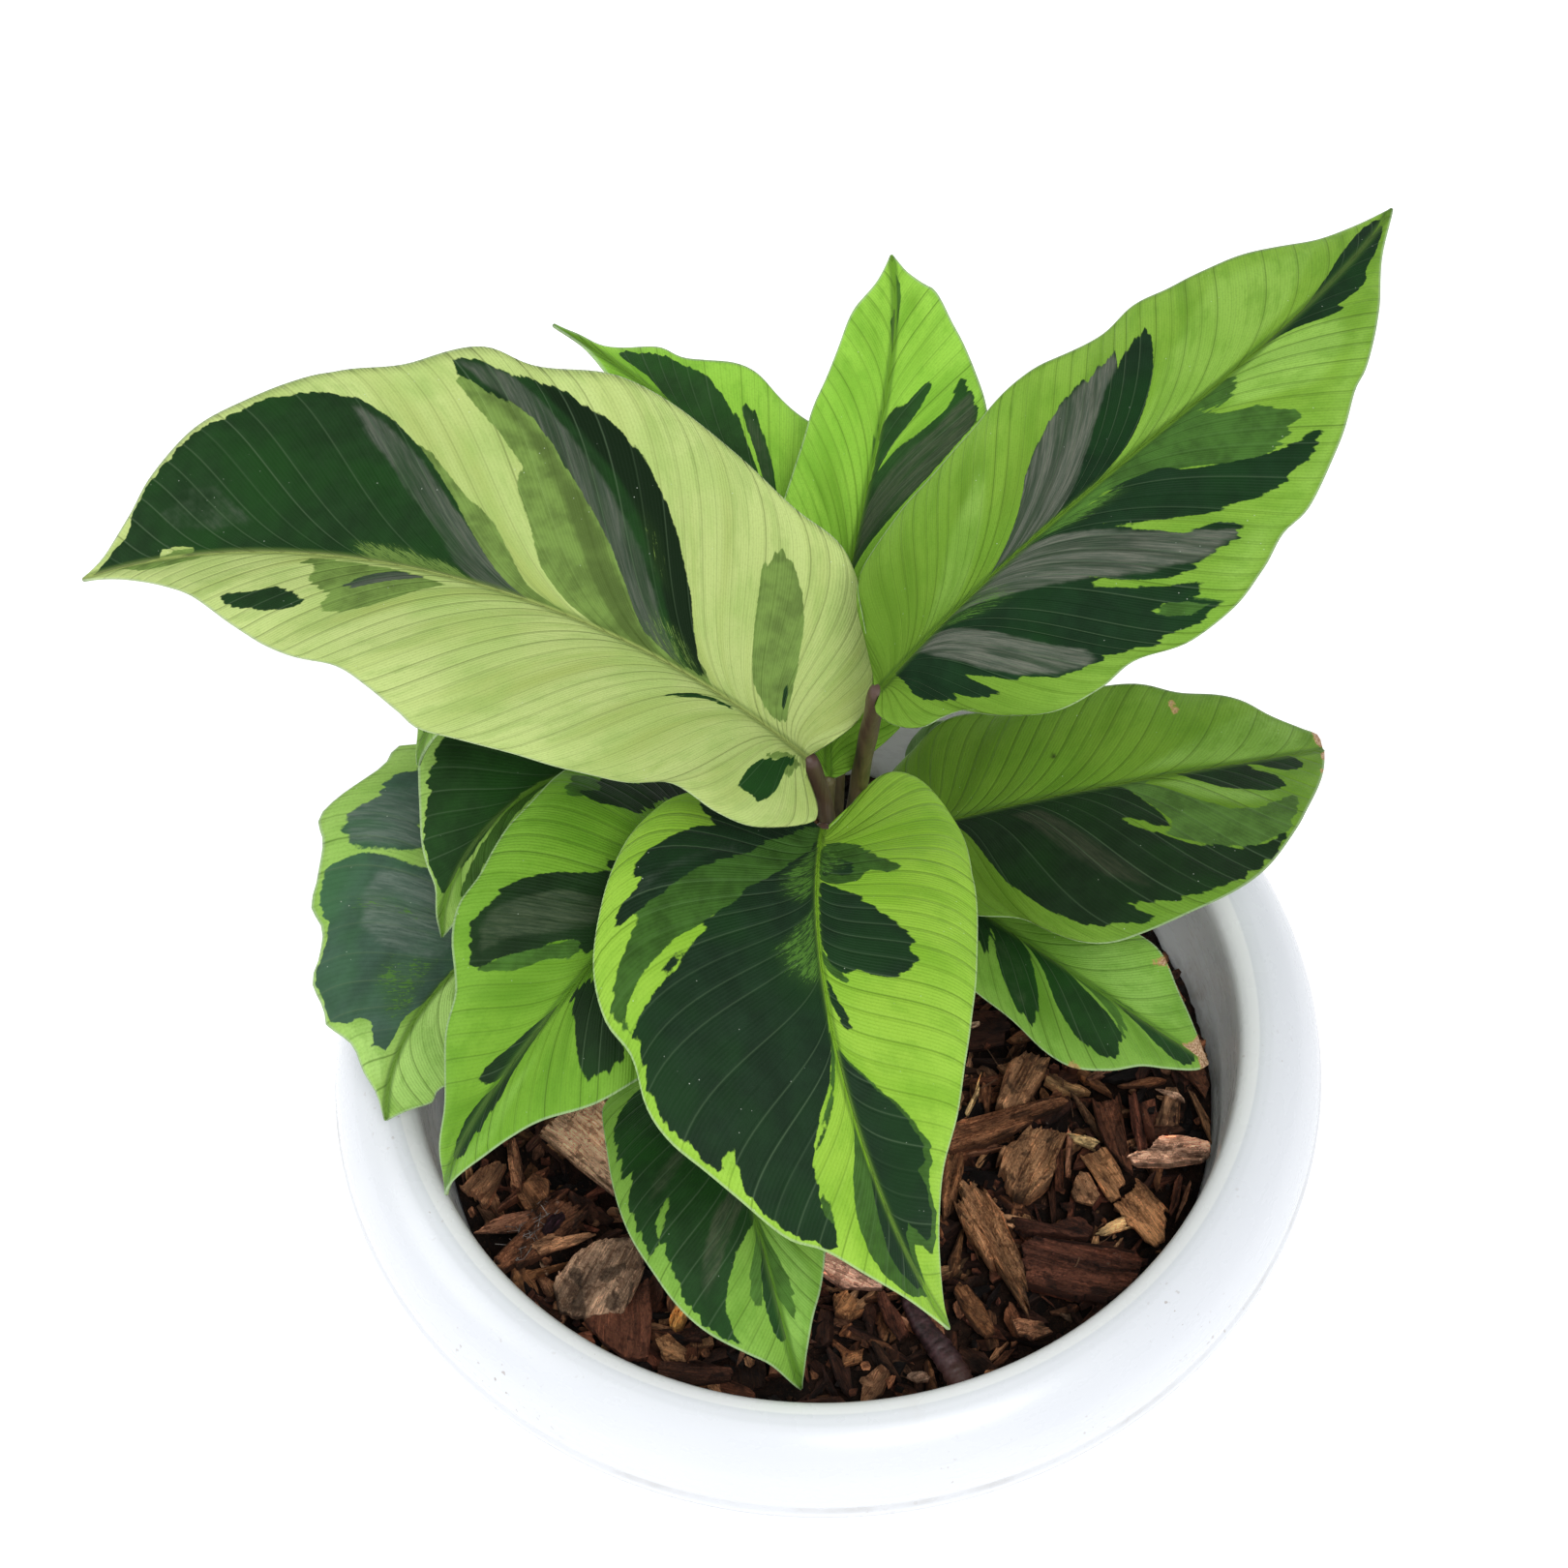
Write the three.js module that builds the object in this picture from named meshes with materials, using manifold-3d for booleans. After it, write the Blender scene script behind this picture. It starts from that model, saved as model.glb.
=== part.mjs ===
// A potted prayer plant: thirteen variegated leaves on slender stalks, rising from one crown,
// in bark mulch, in a shallow white bowl with a broad rolled rim.
// Millimetres, +Z up. The origin is the centre of the bowl's foot, on the surface it stands on.
// The plant's front, with the heart-shaped leaf, faces -Y.

import * as THREE from "three";
import { mergeVertices } from "three/addons/utils/BufferGeometryUtils.js";
import Module from "manifold-3d";

const wasm = await Module();
wasm.setup();

// Bowl
const POT_SEGMENTS = 44;
const RIM_RADIUS = 90.6;
const RIM_HEIGHT = 80;
const LIP_RADIUS = 75.2;
const FOOT_RADIUS = 52;
const FLOOR_TOP = 5;
const DRAIN_HOLE_RADIUS = 4;
const DRAIN_RING_RADIUS = 28;
const DRAIN_COUNT = 5;

// Growing medium
const GAP = 0.3;
const SOIL_TOP = 53;
const SOIL_SEGMENTS = 36;

// Leaves and stalks
const BLADE_THICKNESS = 0.7;
const BLADE_BASE_HALF_WIDTH = 1.2;
const BLADE_TIP_HALF_WIDTH = 0.3;
const BLADE_ACROSS = [0, 0.12, 0.52, 1];
const ROW_LENGTH = 9.5;
const FEWEST_ROWS = 8;
const FOOT_CROWDING = 2;
const DROOP_REACH = 30;
const MIDRIB_SINK = 0.47;
const MIDRIB_END_RADIUS = 0.35;
const MIDRIB_REACH = 0.8;
const NECK_LENGTH = 5;
const STALK_SIDES = 6;
const STALK_STEPS = 7;
const SHEATH_HEIGHT = 19;
const SHEATH_BASE_RADIUS = 4;
const SHEATH_LIP = 0.5;
const CROWN_CENTRE = [-1, 5];

const UP = new THREE.Vector3(0, 0, 1);

const finish = {
  pot: new THREE.MeshStandardMaterial({ color: 0xe9eef4, roughness: 0.22, metalness: 0 }),
  soil: new THREE.MeshStandardMaterial({ color: 0x2b1a12, roughness: 0.95, metalness: 0 }),
  bark: new THREE.MeshStandardMaterial({ color: 0x6d4a33, roughness: 0.9, metalness: 0 }),
  paleBark: new THREE.MeshStandardMaterial({ color: 0xa6805d, roughness: 0.88, metalness: 0 }),
  husk: new THREE.MeshStandardMaterial({ color: 0xc98b45, roughness: 0.7, metalness: 0 }),
  deadStem: new THREE.MeshStandardMaterial({ color: 0x3a2426, roughness: 0.7, metalness: 0 }),
  stalk: new THREE.MeshStandardMaterial({ color: 0x473826, roughness: 0.55, metalness: 0 }),
  paleLeaf: new THREE.MeshStandardMaterial({ color: 0xb4c85c, roughness: 0.45, metalness: 0 }),
  greenLeaf: new THREE.MeshStandardMaterial({ color: 0x76a82c, roughness: 0.45, metalness: 0 }),
  darkLeaf: new THREE.MeshStandardMaterial({ color: 0x2a4a2c, roughness: 0.45, metalness: 0 }),
};

// Half outlines of a blade are [distance along the midrib, half width], from the stalk to the tip.
// Left and right are seen from above with the tip ahead. The rib and stalk are Bezier points.
// roll turns the blade about its midrib at the base and the tip, fold lifts each half from flat,
// and droop is how far each half bends down over 30 mm, all in degrees.
const LEAVES = [
  {
    name: "leaf_left_large",
    finish: "paleLeaf",
    rib: [[-1, -1, 165], [-35, 25, 183], [-85, 45, 180], [-124, 51, 156]],
    stalk: [[4, -2, 55], [4, -2, 100], [4, 5, 140], [-1, -1, 165]],
    stalkRadius: 1.5,
    roll: [-6, -4],
    fold: [20, 16],
    droop: [14, 10],
    left: [[-3, 7], [-7, 9.5], [-1, 17], [6, 20], [15, 21], [23, 26], [40, 30], [56, 33],
      [63, 31], [70, 28], [77, 25.5], [87.5, 24], [100, 18.5], [112.5, 11], [127, 4.5]],
    right: [[-1, 7], [-1, 14], [4, 22], [14, 31.5], [24, 33.5], [40, 40], [54, 43], [67, 40.5],
      [76, 42], [86, 36.5], [97, 35], [104, 33], [118, 24], [126, 16], [130, 9.5], [135, 3.2]],
  },
  {
    name: "leaf_right_large",
    finish: "greenLeaf",
    rib: [[11, -3, 186], [42.5, 23.5, 203], [84, 48, 205], [104, 87, 192]],
    stalk: [[4, 14, 55], [3.5, 14.5, 100], [7.4, 8.6, 145], [11, -3, 186]],
    stalkRadius: 1.55,
    roll: [0, 4],
    fold: [-4, -6],
    droop: [16, 6],
    left: [[2, 3.6], [7, 11.2], [11.2, 17.6], [17, 20.5], [24, 22.4], [32, 23.4], [48.5, 26],
      [57, 26.4], [65.5, 25.2], [73.6, 23.4], [82, 23.4], [90, 21], [99, 18.5], [106, 15.1],
      [113, 11], [125.4, 3.8]],
    right: [[-2.8, 1.8], [-2.4, 6], [0, 9.8], [4, 11.5], [7.5, 13.6], [12, 19.4], [18, 23.8],
      [25, 25.8], [32, 26.2], [41, 30], [50, 30.7], [58, 28.7], [65, 25.9], [72, 25.2],
      [84, 20.6], [92.6, 16.2], [98, 14.5], [109, 9.3], [121.3, 3.3]],
  },
  {
    name: "leaf_front_heart",
    finish: "darkLeaf",
    rib: [[1, -5, 150], [-5, -35, 159], [4, -76, 148], [17, -79, 111]],
    stalk: [[-1, -8, 55], [-1, -9, 90], [1, -3, 130], [1, -5, 150]],
    stalkRadius: 1.5,
    roll: [-4, 0],
    fold: [-4, 10],
    droop: [22, 14],
    left: [[-9, 5.2], [-16, 8], [-19, 11], [-19, 15.5], [-15, 20.3], [-7, 25], [10, 28],
      [29, 27], [43, 24], [53, 20.6], [63, 16.8], [73, 11.8], [82.5, 7.2], [93, 3.2]],
    right: [[-2, 9], [-3, 19], [1, 26.5], [5.5, 30.3], [10, 32.5], [18, 35], [27, 37],
      [34.5, 36], [40, 32.8], [47, 32.2], [52, 30], [57, 26], [62, 22.3], [69, 17.5],
      [73, 12.7], [78, 9], [87, 4]],
  },
  {
    name: "leaf_right_low",
    finish: "greenLeaf",
    rib: [[15, 14, 118], [41, 14, 129], [72, 19, 126], [92, 32, 110]],
    stalk: [[9, 3, 55], [9, 3, 80], [12, 13, 100], [15, 14, 118]],
    stalkRadius: 1.5,
    roll: [0, 6],
    fold: [-2, 14],
    droop: [10, 12],
    left: [[-2, 7.5], [-1, 14.5], [4, 18], [10, 21.5], [16, 22.6], [28, 22.2], [44, 21.4],
      [55, 19.8], [64, 17.4], [72, 13.8], [77, 9.6], [83, 5.8], [86, 3.6]],
    right: [[1, 9.5], [5.5, 18.5], [12, 23.5], [19, 25.5], [25.5, 31.5], [30, 33.3], [35, 32.5],
      [42, 30.5], [50, 27.8], [58, 22.8], [65, 17], [69, 13.3], [77, 6.6]],
  },
  {
    name: "leaf_right_small",
    finish: "greenLeaf",
    rib: [[19, 22, 92], [31, 6, 101], [52, -12, 98], [68, -14, 80]],
    stalk: [[12, 8, 55], [13, 10, 68], [16, 21, 80], [19, 22, 92]],
    stalkRadius: 1.2,
    roll: [0, 0],
    fold: [6, 6],
    droop: [8, 8],
    left: [[0.4, 4], [12, 8.5], [26.5, 12], [36.5, 14], [44.6, 13.8], [51, 12], [58, 8.4],
      [64, 4.4]],
    right: [[4, 6], [12, 11.7], [19, 13.8], [30, 14.7], [41, 16], [45.6, 16], [50, 13.2],
      [54.5, 8.5], [59, 6], [65, 2.7]],
  },
  {
    name: "leaf_front_left",
    finish: "greenLeaf",
    rib: [[-17, 6, 137], [-27.3, -17.7, 151], [-62, -48, 140], [-66, -47, 108]],
    stalk: [[-7, 0, 55], [-8, 0, 90], [-15, 5, 115], [-17, 6, 137]],
    stalkRadius: 1.5,
    roll: [0, -4],
    fold: [2, 12],
    droop: [14, 12],
    left: [[6.4, 6], [15, 12], [25, 17], [34.6, 20], [42, 20.5], [48, 19], [54, 16.5],
      [62, 10.4], [69, 7], [77, 4.2], [87, 1.2]],
    right: [[-6.6, 6.5], [-8.4, 15], [-4, 22], [5, 26.5], [18, 27], [26, 27.4], [32, 26.3],
      [38, 24.5], [44, 23.8], [49, 21.3], [53, 17.5], [56, 15], [62, 12.7], [68.5, 8.7],
      [75, 5], [85, 2]],
  },
  {
    name: "leaf_left_inner",
    finish: "darkLeaf",
    rib: [[-20, 29, 119], [-44, 33, 131], [-66, 12, 125], [-67, 7, 104]],
    stalk: [[-9, 7, 55], [-10, 8, 80], [-17, 26, 100], [-20, 29, 119]],
    stalkRadius: 1.4,
    roll: [0, 0],
    fold: [4, 12],
    droop: [10, 10],
    left: [[0.5, 9], [10, 13.7], [22, 14.3], [41, 11], [51, 7], [59, 3.4]],
    right: [[2, 6.3], [9, 12.5], [17, 20], [26, 23.8], [33.5, 23], [37.4, 20.2], [41.4, 15.6],
      [47, 10.6], [52.5, 5.6], [56, 2.4], [62, 0.8]],
  },
  {
    name: "leaf_left_wavy",
    finish: "darkLeaf",
    rib: [[-31, 30, 90], [-50, 18, 98], [-78, 2, 97], [-79, -19, 85]],
    stalk: [[-12, 3, 55], [-14, 6, 68], [-28, 28, 76], [-31, 30, 90]],
    stalkRadius: 1.4,
    roll: [-4, 0],
    fold: [8, 14],
    droop: [8, 14],
    left: [[1.4, 4], [12, 13.4], [26, 21], [42, 22.3], [57.4, 16.6], [65.7, 9.6], [69.2, 8.5],
      [71.5, 4]],
    right: [[-2.5, 6], [-2.5, 12.6], [2, 21], [9.5, 29], [15.5, 34.5], [21, 39.8], [24.5, 43],
      [28, 40.8], [35.4, 41], [39, 39.7], [41, 35], [45, 30.7], [48, 28.4], [49.6, 24],
      [53.3, 21.2], [56, 20], [58.7, 15.4], [60.5, 13.9], [62, 8.2], [65.5, 5], [69, 1.8]],
  },
  {
    name: "leaf_front_low",
    finish: "darkLeaf",
    rib: [[-28, -12, 92], [-15.5, -29, 105], [-12, -66, 98], [-8, -70, 73]],
    stalk: [[-10, -5, 55], [-12, -6, 68], [-25, -11, 78], [-28, -12, 92]],
    stalkRadius: 1.2,
    roll: [6, 0],
    fold: [6, 6],
    droop: [10, 14],
    left: [[1.5, 4.6], [12, 9.3], [25.3, 12.1], [37.3, 13], [48, 10.3], [55, 7.9], [61.6, 4.4]],
    right: [[-3, 3], [-5, 7.5], [0.6, 14], [11.7, 18.8], [26, 21.6], [37, 21.5], [45.8, 18.9],
      [51.8, 16.4], [56.7, 13.1], [62, 7.5], [66.6, 3.5]],
  },
  {
    name: "leaf_back_left",
    finish: "greenLeaf",
    rib: [[6, 28, 150], [0, 57, 163], [-24, 82, 163], [-42, 106, 152]],
    stalk: [[1, 16, 55], [1, 18, 90], [6, 27, 130], [6, 28, 150]],
    stalkRadius: 1.4,
    roll: [4, 0],
    fold: [6, 6],
    droop: [12, 12],
    left: [[-1, 4], [2, 9], [12, 13], [27, 15], [41, 13], [54, 9], [67, 5], [75, 2.6], [83, 1]],
    right: [[2, 6], [8, 12.4], [15, 17], [21, 20], [26, 20.8], [35.5, 19.8], [43, 17],
      [49.4, 15.5], [56, 15.5], [60, 14.3], [64, 11.4], [68, 8.8], [73, 8], [77, 6],
      [82, 1.8], [88, 0.8]],
  },
  {
    name: "leaf_back",
    finish: "greenLeaf",
    rib: [[2.6, 6.9, 147.3], [3, 35, 165], [21, 65, 174], [19, 97, 176]],
    stalk: [[-1, 10, 55], [-1, 12, 95], [2.6, 12, 128], [2.6, 6.9, 147.3]],
    stalkRadius: 1.1,
    roll: [-8, -4],
    fold: [4, 10],
    droop: [16, 10],
    left: [[3.7, 2.5], [8, 6], [20, 11], [40, 14], [51, 13.4], [62.7, 12.6], [70.2, 11.4],
      [78, 9.5], [85.8, 6.8], [92.4, 2.8]],
    right: [[1.3, 4], [4.3, 8], [10, 14], [20, 19.5], [34, 22.4], [47.7, 22.1], [57.8, 20.7],
      [66.5, 18], [73, 15], [78, 12.4], [82, 10], [88, 7.2], [90, 5.2], [93.4, 2.3]],
  },
  {
    name: "leaf_back_right_low",
    finish: "greenLeaf",
    rib: [[19, 37, 97], [32, 31, 108], [56, 29, 106], [67, 32, 92]],
    stalk: [[8, 12, 55], [9, 16, 70], [18, 36, 84], [19, 37, 97]],
    stalkRadius: 1.25,
    roll: [0, 0],
    fold: [8, 8],
    droop: [12, 12],
    left: [[-3, 4], [-5.9, 11.5], [-1, 15], [10.7, 14], [21, 12.3], [32.5, 10.7], [45, 7]],
    right: [[3, 7], [8.4, 14], [15.6, 17.3], [22.8, 17.3], [31.6, 14.3], [42, 8.2]],
  },
  {
    name: "leaf_left_upper",
    finish: "darkLeaf",
    rib: [[-19, 36, 141], [-36, 40, 154], [-65, 34, 149], [-69, 29, 126]],
    stalk: [[-5, 12, 55], [-6, 15, 90], [-14, 38, 120], [-19, 36, 141]],
    stalkRadius: 1.3,
    roll: [0, 0],
    fold: [8, 8],
    droop: [12, 12],
    left: [[0, 5.6], [5, 12.6], [15, 16.7], [26.6, 16.4], [38, 13.2], [49, 6.2], [56, 2]],
    right: [[-1.6, 4.7], [2, 7.7], [11.4, 11.3], [21.6, 13], [32.3, 13], [41.4, 11], [50, 7.3],
      [57, 2.8]],
  },
];

// Bark pieces that lie loose on the medium: centre x, y, then length, width, thickness, and the
// long side's heading in degrees.
const CHIPS = [
  { name: "bark_left_tan", finish: "paleBark", at: [-44, -10, 24, 14, 3, -38] },
  { name: "bark_left_small", finish: "bark", at: [-62, -16, 12, 9, 3, 20] },
  { name: "bark_left_shredded", finish: "paleBark", at: [-54, -28, 19, 10, 5, 27] },
  { name: "bark_front_left_mottled", finish: "paleBark", at: [-41, -38, 19, 15, 4, 55] },
  { name: "bark_front_strip", finish: "paleBark", at: [1, -36, 18, 7, 3, -5] },
  { name: "bark_front_bit", finish: "paleBark", at: [2, -46, 7, 5, 2, -60] },
  { name: "bark_front_oval", finish: "bark", at: [23, -51, 12, 5, 2.5, -52] },
  { name: "bark_front_long", finish: "bark", at: [26.5, -35, 29, 8.5, 6, -66] },
  { name: "bark_front_slab", finish: "bark", at: [44.5, -44, 18, 10, 3, 38] },
  { name: "bark_right_strip", finish: "bark", at: [32, -9, 21, 6, 4, 22] },
  { name: "bark_right_block", finish: "bark", at: [39, -24, 14, 11, 5, 60] },
  { name: "bark_right_red", finish: "bark", at: [50.5, -12, 15, 6, 4, -72] },
  { name: "bark_right_stick", finish: "paleBark", at: [61, -18, 13, 4.5, 4, 0] },
  { name: "bark_right_cracked_a", finish: "paleBark", at: [51, -25, 9, 8, 3, -60] },
  { name: "bark_right_cracked_b", finish: "paleBark", at: [57, -33.5, 9.5, 8, 3, -65] },
  { name: "bark_right_edge", finish: "bark", at: [66, 3, 9, 6, 3, -8] },
  { name: "bark_back_bit", finish: "paleBark", at: [12, 60, 9, 5, 3, 10] },
  { name: "bark_back_right", finish: "bark", at: [42, 42, 19, 9, 4, -40] },
  { name: "bark_back_centre", finish: "bark", at: [-12, 48, 20, 8, 4, 15] },
  { name: "bark_back_left", finish: "paleBark", at: [-38, 44, 17, 10, 3, 62] },
  { name: "bark_far_left", finish: "bark", at: [-58, 14, 21, 9, 4, 78] },
];
const CHIP_OUTLINE = [[-0.5, -0.2], [-0.28, -0.5], [0.34, -0.44], [0.5, -0.05], [0.36, 0.46],
  [-0.16, 0.5], [-0.46, 0.26]];

const HUSK = { at: [-28, -48, 6, 2.6, 2.2, 100] };
const DEAD_STEM_PATH = [[12, -45, 55.2], [14, -51, 55.5], [18, -58, 55.9], [21, -64, 55.9]];
const DEAD_STEM_RADII = [1.6, 1.8, 2.2, 2.3];

function vectors(points) {
  return points.map((p) => new THREE.Vector3(...p));
}

// A geometry as a manifold solid, with its shared vertices merged.
function solidOf(geometry) {
  const bare = new THREE.BufferGeometry();
  bare.setAttribute("position", geometry.getAttribute("position").clone());
  if (geometry.index) bare.setIndex(geometry.index.clone());
  const merged = mergeVertices(bare, 1e-4);
  return new wasm.Manifold(
    new wasm.Mesh({
      numProp: 3,
      vertProperties: new Float32Array(merged.attributes.position.array),
      triVerts: new Uint32Array(merged.index.array),
    }),
  );
}

function geometryOf(solid) {
  const mesh = solid.getMesh();
  const geometry = new THREE.BufferGeometry();
  geometry.setAttribute("position", new THREE.BufferAttribute(mesh.vertProperties, 3));
  geometry.setIndex(new THREE.BufferAttribute(mesh.triVerts, 1));
  geometry.computeVertexNormals();
  return geometry;
}

// Closed rings joined in order, with a fan over each end. Rings run anticlockwise seen from the end.
function loft(rings) {
  const sides = rings[0].length;
  const positions = rings.flat();
  const last = (rings.length - 1) * sides;
  const index = [];
  for (let i = 0; i < rings.length - 1; i++) {
    for (let j = 0; j < sides; j++) {
      const a = i * sides + j;
      const b = i * sides + ((j + 1) % sides);
      index.push(a, b, b + sides, a, b + sides, a + sides);
    }
  }
  for (let j = 1; j < sides - 1; j++) {
    index.push(0, j + 1, j, last, last + j, last + j + 1);
  }
  const geometry = new THREE.BufferGeometry().setFromPoints(positions);
  geometry.setIndex(index);
  geometry.computeVertexNormals();
  return geometry;
}

// A tapering round stem through the points, one radius for each.
function stem(points, radii, sides = STALK_SIDES) {
  const rings = points.map((point, i) => {
    const ahead = points[Math.min(i + 1, points.length - 1)];
    const behind = points[Math.max(i - 1, 0)];
    const along = ahead.clone().sub(behind).normalize();
    const across = new THREE.Vector3(0.3, 1, 0.1).cross(along).normalize();
    const up = along.clone().cross(across);
    return Array.from({ length: sides }, (_, j) => {
      const angle = (2 * Math.PI * j) / sides;
      return point
        .clone()
        .addScaledVector(across, radii[i] * Math.cos(angle))
        .addScaledVector(up, radii[i] * Math.sin(angle));
    });
  });
  return loft(rings);
}

// The blade's surface: a point x mm along the midrib and y mm out, right positive.
class Blade {
  constructor(leaf) {
    this.leaf = leaf;
    this.rib = new THREE.CubicBezierCurve3(...vectors(leaf.rib));
    this.length = this.rib.getLength();
  }

  point(x, y) {
    const { roll, fold, droop } = this.leaf;
    const s = THREE.MathUtils.clamp(x / this.length, 0, 1);
    const along = this.rib.getTangent(s);
    const centre = this.rib.getPoint(s).addScaledVector(along, x - s * this.length);
    const level = along.clone().cross(UP).normalize();
    const above = level.clone().cross(along);
    const turn = THREE.MathUtils.degToRad(THREE.MathUtils.lerp(roll[0], roll[1], s));
    const right = level.multiplyScalar(Math.cos(turn)).addScaledVector(above, -Math.sin(turn));
    const normal = right.clone().cross(along);
    const side = y > 0 ? 1 : 0;
    const start = THREE.MathUtils.degToRad(fold[side]);
    const bend = THREE.MathUtils.degToRad(droop[side]) / DROOP_REACH;
    const end = start - bend * Math.abs(y);
    const out = (Math.sin(start) - Math.sin(end)) / bend;
    const lift = (Math.cos(end) - Math.cos(start)) / bend;
    const place = centre
      .addScaledVector(right, Math.sign(y) * out)
      .addScaledVector(normal, lift);
    return { place, normal };
  }

  // The margin of one half as a curve, from the stalk to the tip.
  margin(half) {
    const outline = [[0, BLADE_BASE_HALF_WIDTH], ...half, [this.length, BLADE_TIP_HALF_WIDTH]];
    return new THREE.SplineCurve(outline.map(([x, y]) => new THREE.Vector2(x, y)));
  }

  // Rows of points from the left margin over the midrib to the right margin.
  rows() {
    const count = Math.max(FEWEST_ROWS, Math.round(this.length / ROW_LENGTH));
    const left = this.margin(this.leaf.left).getSpacedPoints(count);
    const right = this.margin(this.leaf.right).getSpacedPoints(count);
    return left.map((_, i) => {
      const foot = this.length * (i / count) ** FOOT_CROWDING;
      const at = (edge, share, sign) =>
        this.point(foot + (edge.x - foot) * share, sign * edge.y * share);
      const inward = BLADE_ACROSS.slice(1).reverse();
      return [
        ...inward.map((share) => at(left[i], share, -1)),
        this.point(foot, 0),
        ...BLADE_ACROSS.slice(1).map((share) => at(right[i], share, 1)),
      ];
    });
  }

  // The thin sheet of the blade as a closed solid.
  sheet() {
    const rows = this.rows();
    const across = rows[0].length;
    const shift = (p, amount) => p.place.clone().addScaledVector(p.normal, amount);
    const top = rows.flat().map((p) => shift(p, BLADE_THICKNESS / 2));
    const bottom = rows.flat().map((p) => shift(p, -BLADE_THICKNESS / 2));
    const under = top.length;
    const index = [];
    const quad = (a, b, c, d) => index.push(a, b, c, a, c, d);
    const lastRow = (rows.length - 1) * across;
    for (let i = 0; i < rows.length - 1; i++) {
      for (let j = 0; j < across - 1; j++) {
        const a = i * across + j;
        quad(a, a + 1, a + across + 1, a + across);
        quad(under + a, under + a + across, under + a + across + 1, under + a + 1);
      }
      const l = i * across;
      const r = l + across - 1;
      quad(l, l + across, under + l + across, under + l);
      quad(r, under + r, under + r + across, r + across);
    }
    for (let j = 0; j < across - 1; j++) {
      quad(j, under + j, under + j + 1, j + 1);
      const k = lastRow + j;
      quad(k, k + 1, under + k + 1, under + k);
    }
    const geometry = new THREE.BufferGeometry().setFromPoints([...top, ...bottom]);
    geometry.setIndex(index);
    return geometry;
  }
}

// A stalk's path from the crown to the blade, and where its sheath and its neck end on it.
class Stalk {
  constructor(leaf) {
    this.radius = leaf.stalkRadius;
    this.path = new THREE.CubicBezierCurve3(...vectors(leaf.stalk));
    this.length = this.path.getLength();
    this.sheathEnd = SHEATH_HEIGHT / this.length;
    this.neckStart = 1 - NECK_LENGTH / this.length;
    this.gap = GAP / this.length;
  }

  stretch(from, to, steps) {
    return Array.from({ length: steps + 1 }, (_, i) =>
      this.path.getPointAt(from + ((to - from) * i) / steps),
    );
  }

  sheath() {
    const steps = 3;
    const points = this.stretch(0, this.sheathEnd - this.gap, steps);
    const radii = points.map((_, i) =>
      THREE.MathUtils.lerp(SHEATH_BASE_RADIUS, this.radius + SHEATH_LIP, i / steps),
    );
    return stem(points, radii);
  }

  shaft() {
    const points = this.stretch(this.sheathEnd, this.neckStart - this.gap, STALK_STEPS);
    return stem(points, points.map(() => this.radius));
  }
}

// The blade with its midrib, which runs on below the sheet and back down as the neck.
function bladeSolid(leaf) {
  const blade = new Blade(leaf);
  const stalk = new Stalk(leaf);
  const neck = stalk.stretch(stalk.neckStart, 1, 2).slice(0, 2);
  const stations = [0, 0.12, 0.32, 0.56, MIDRIB_REACH];
  const along = stations.map((s) => {
    const { place, normal } = blade.point(s * blade.length, 0);
    return place.addScaledVector(normal, -MIDRIB_SINK);
  });
  const radii = [
    stalk.radius,
    stalk.radius,
    ...stations.map((s) =>
      THREE.MathUtils.lerp(stalk.radius * 0.9, MIDRIB_END_RADIUS, s / MIDRIB_REACH),
    ),
  ];
  const midrib = solidOf(stem([...neck, ...along], radii, 5));
  return geometryOf(solidOf(blade.sheet()).add(midrib));
}

// Bowl: foot, flaring wall, rolled rim with a skirt, and drain holes in the floor.
function potSolid() {
  const skirtBottom = 63.6;
  const skirtInner = RIM_RADIUS - 2.2;
  const profile = [
    [0, 0], [FOOT_RADIUS, 0], [53.6, 1.4], [61.5, 18], [68.5, 33], [73.4, 48], [76.6, 63],
    [78, 71.5], [81.5, 74.4], [85.8, 71.6], [skirtInner, 66.5],
    [skirtInner, skirtBottom], [RIM_RADIUS, skirtBottom], [RIM_RADIUS, 66.2],
    [89.9, 69.8], [87.6, 75], [83.8, 78.7], [79.4, RIM_HEIGHT],
    [LIP_RADIUS, 78], [74.3, 72], [72.9, 58], [69.9, 46], [65.4, 33],
    [58.8, 18.6], [50.6, FLOOR_TOP], [0, FLOOR_TOP],
  ].map(([r, z]) => new THREE.Vector2(r, z));
  const bowl = new THREE.LatheGeometry(profile, POT_SEGMENTS).rotateX(Math.PI / 2);
  let solid = solidOf(bowl);
  for (let i = 0; i < DRAIN_COUNT; i++) {
    const angle = (2 * Math.PI * i) / DRAIN_COUNT;
    const hole = new THREE.CylinderGeometry(DRAIN_HOLE_RADIUS, DRAIN_HOLE_RADIUS, 20, 12)
      .rotateX(Math.PI / 2)
      .translate(DRAIN_RING_RADIUS * Math.cos(angle), DRAIN_RING_RADIUS * Math.sin(angle), FLOOR_TOP);
    solid = solid.subtract(solidOf(hole));
  }
  return geometryOf(solid);
}

// Mulch body: it fills the bowl to SOIL_TOP with a hair of clearance.
function soilSolid() {
  const clear = 0.35;
  const profile = [
    [0, FLOOR_TOP + clear], [50.3 - clear, FLOOR_TOP + clear], [58.8 - clear, 19],
    [65.4 - clear, 33.4], [69.9 - clear, 46.4], [71.3, SOIL_TOP],
    [0, SOIL_TOP],
  ].map(([r, z]) => new THREE.Vector2(r, z));
  return new THREE.LatheGeometry(profile, SOIL_SEGMENTS).rotateX(Math.PI / 2);
}

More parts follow.
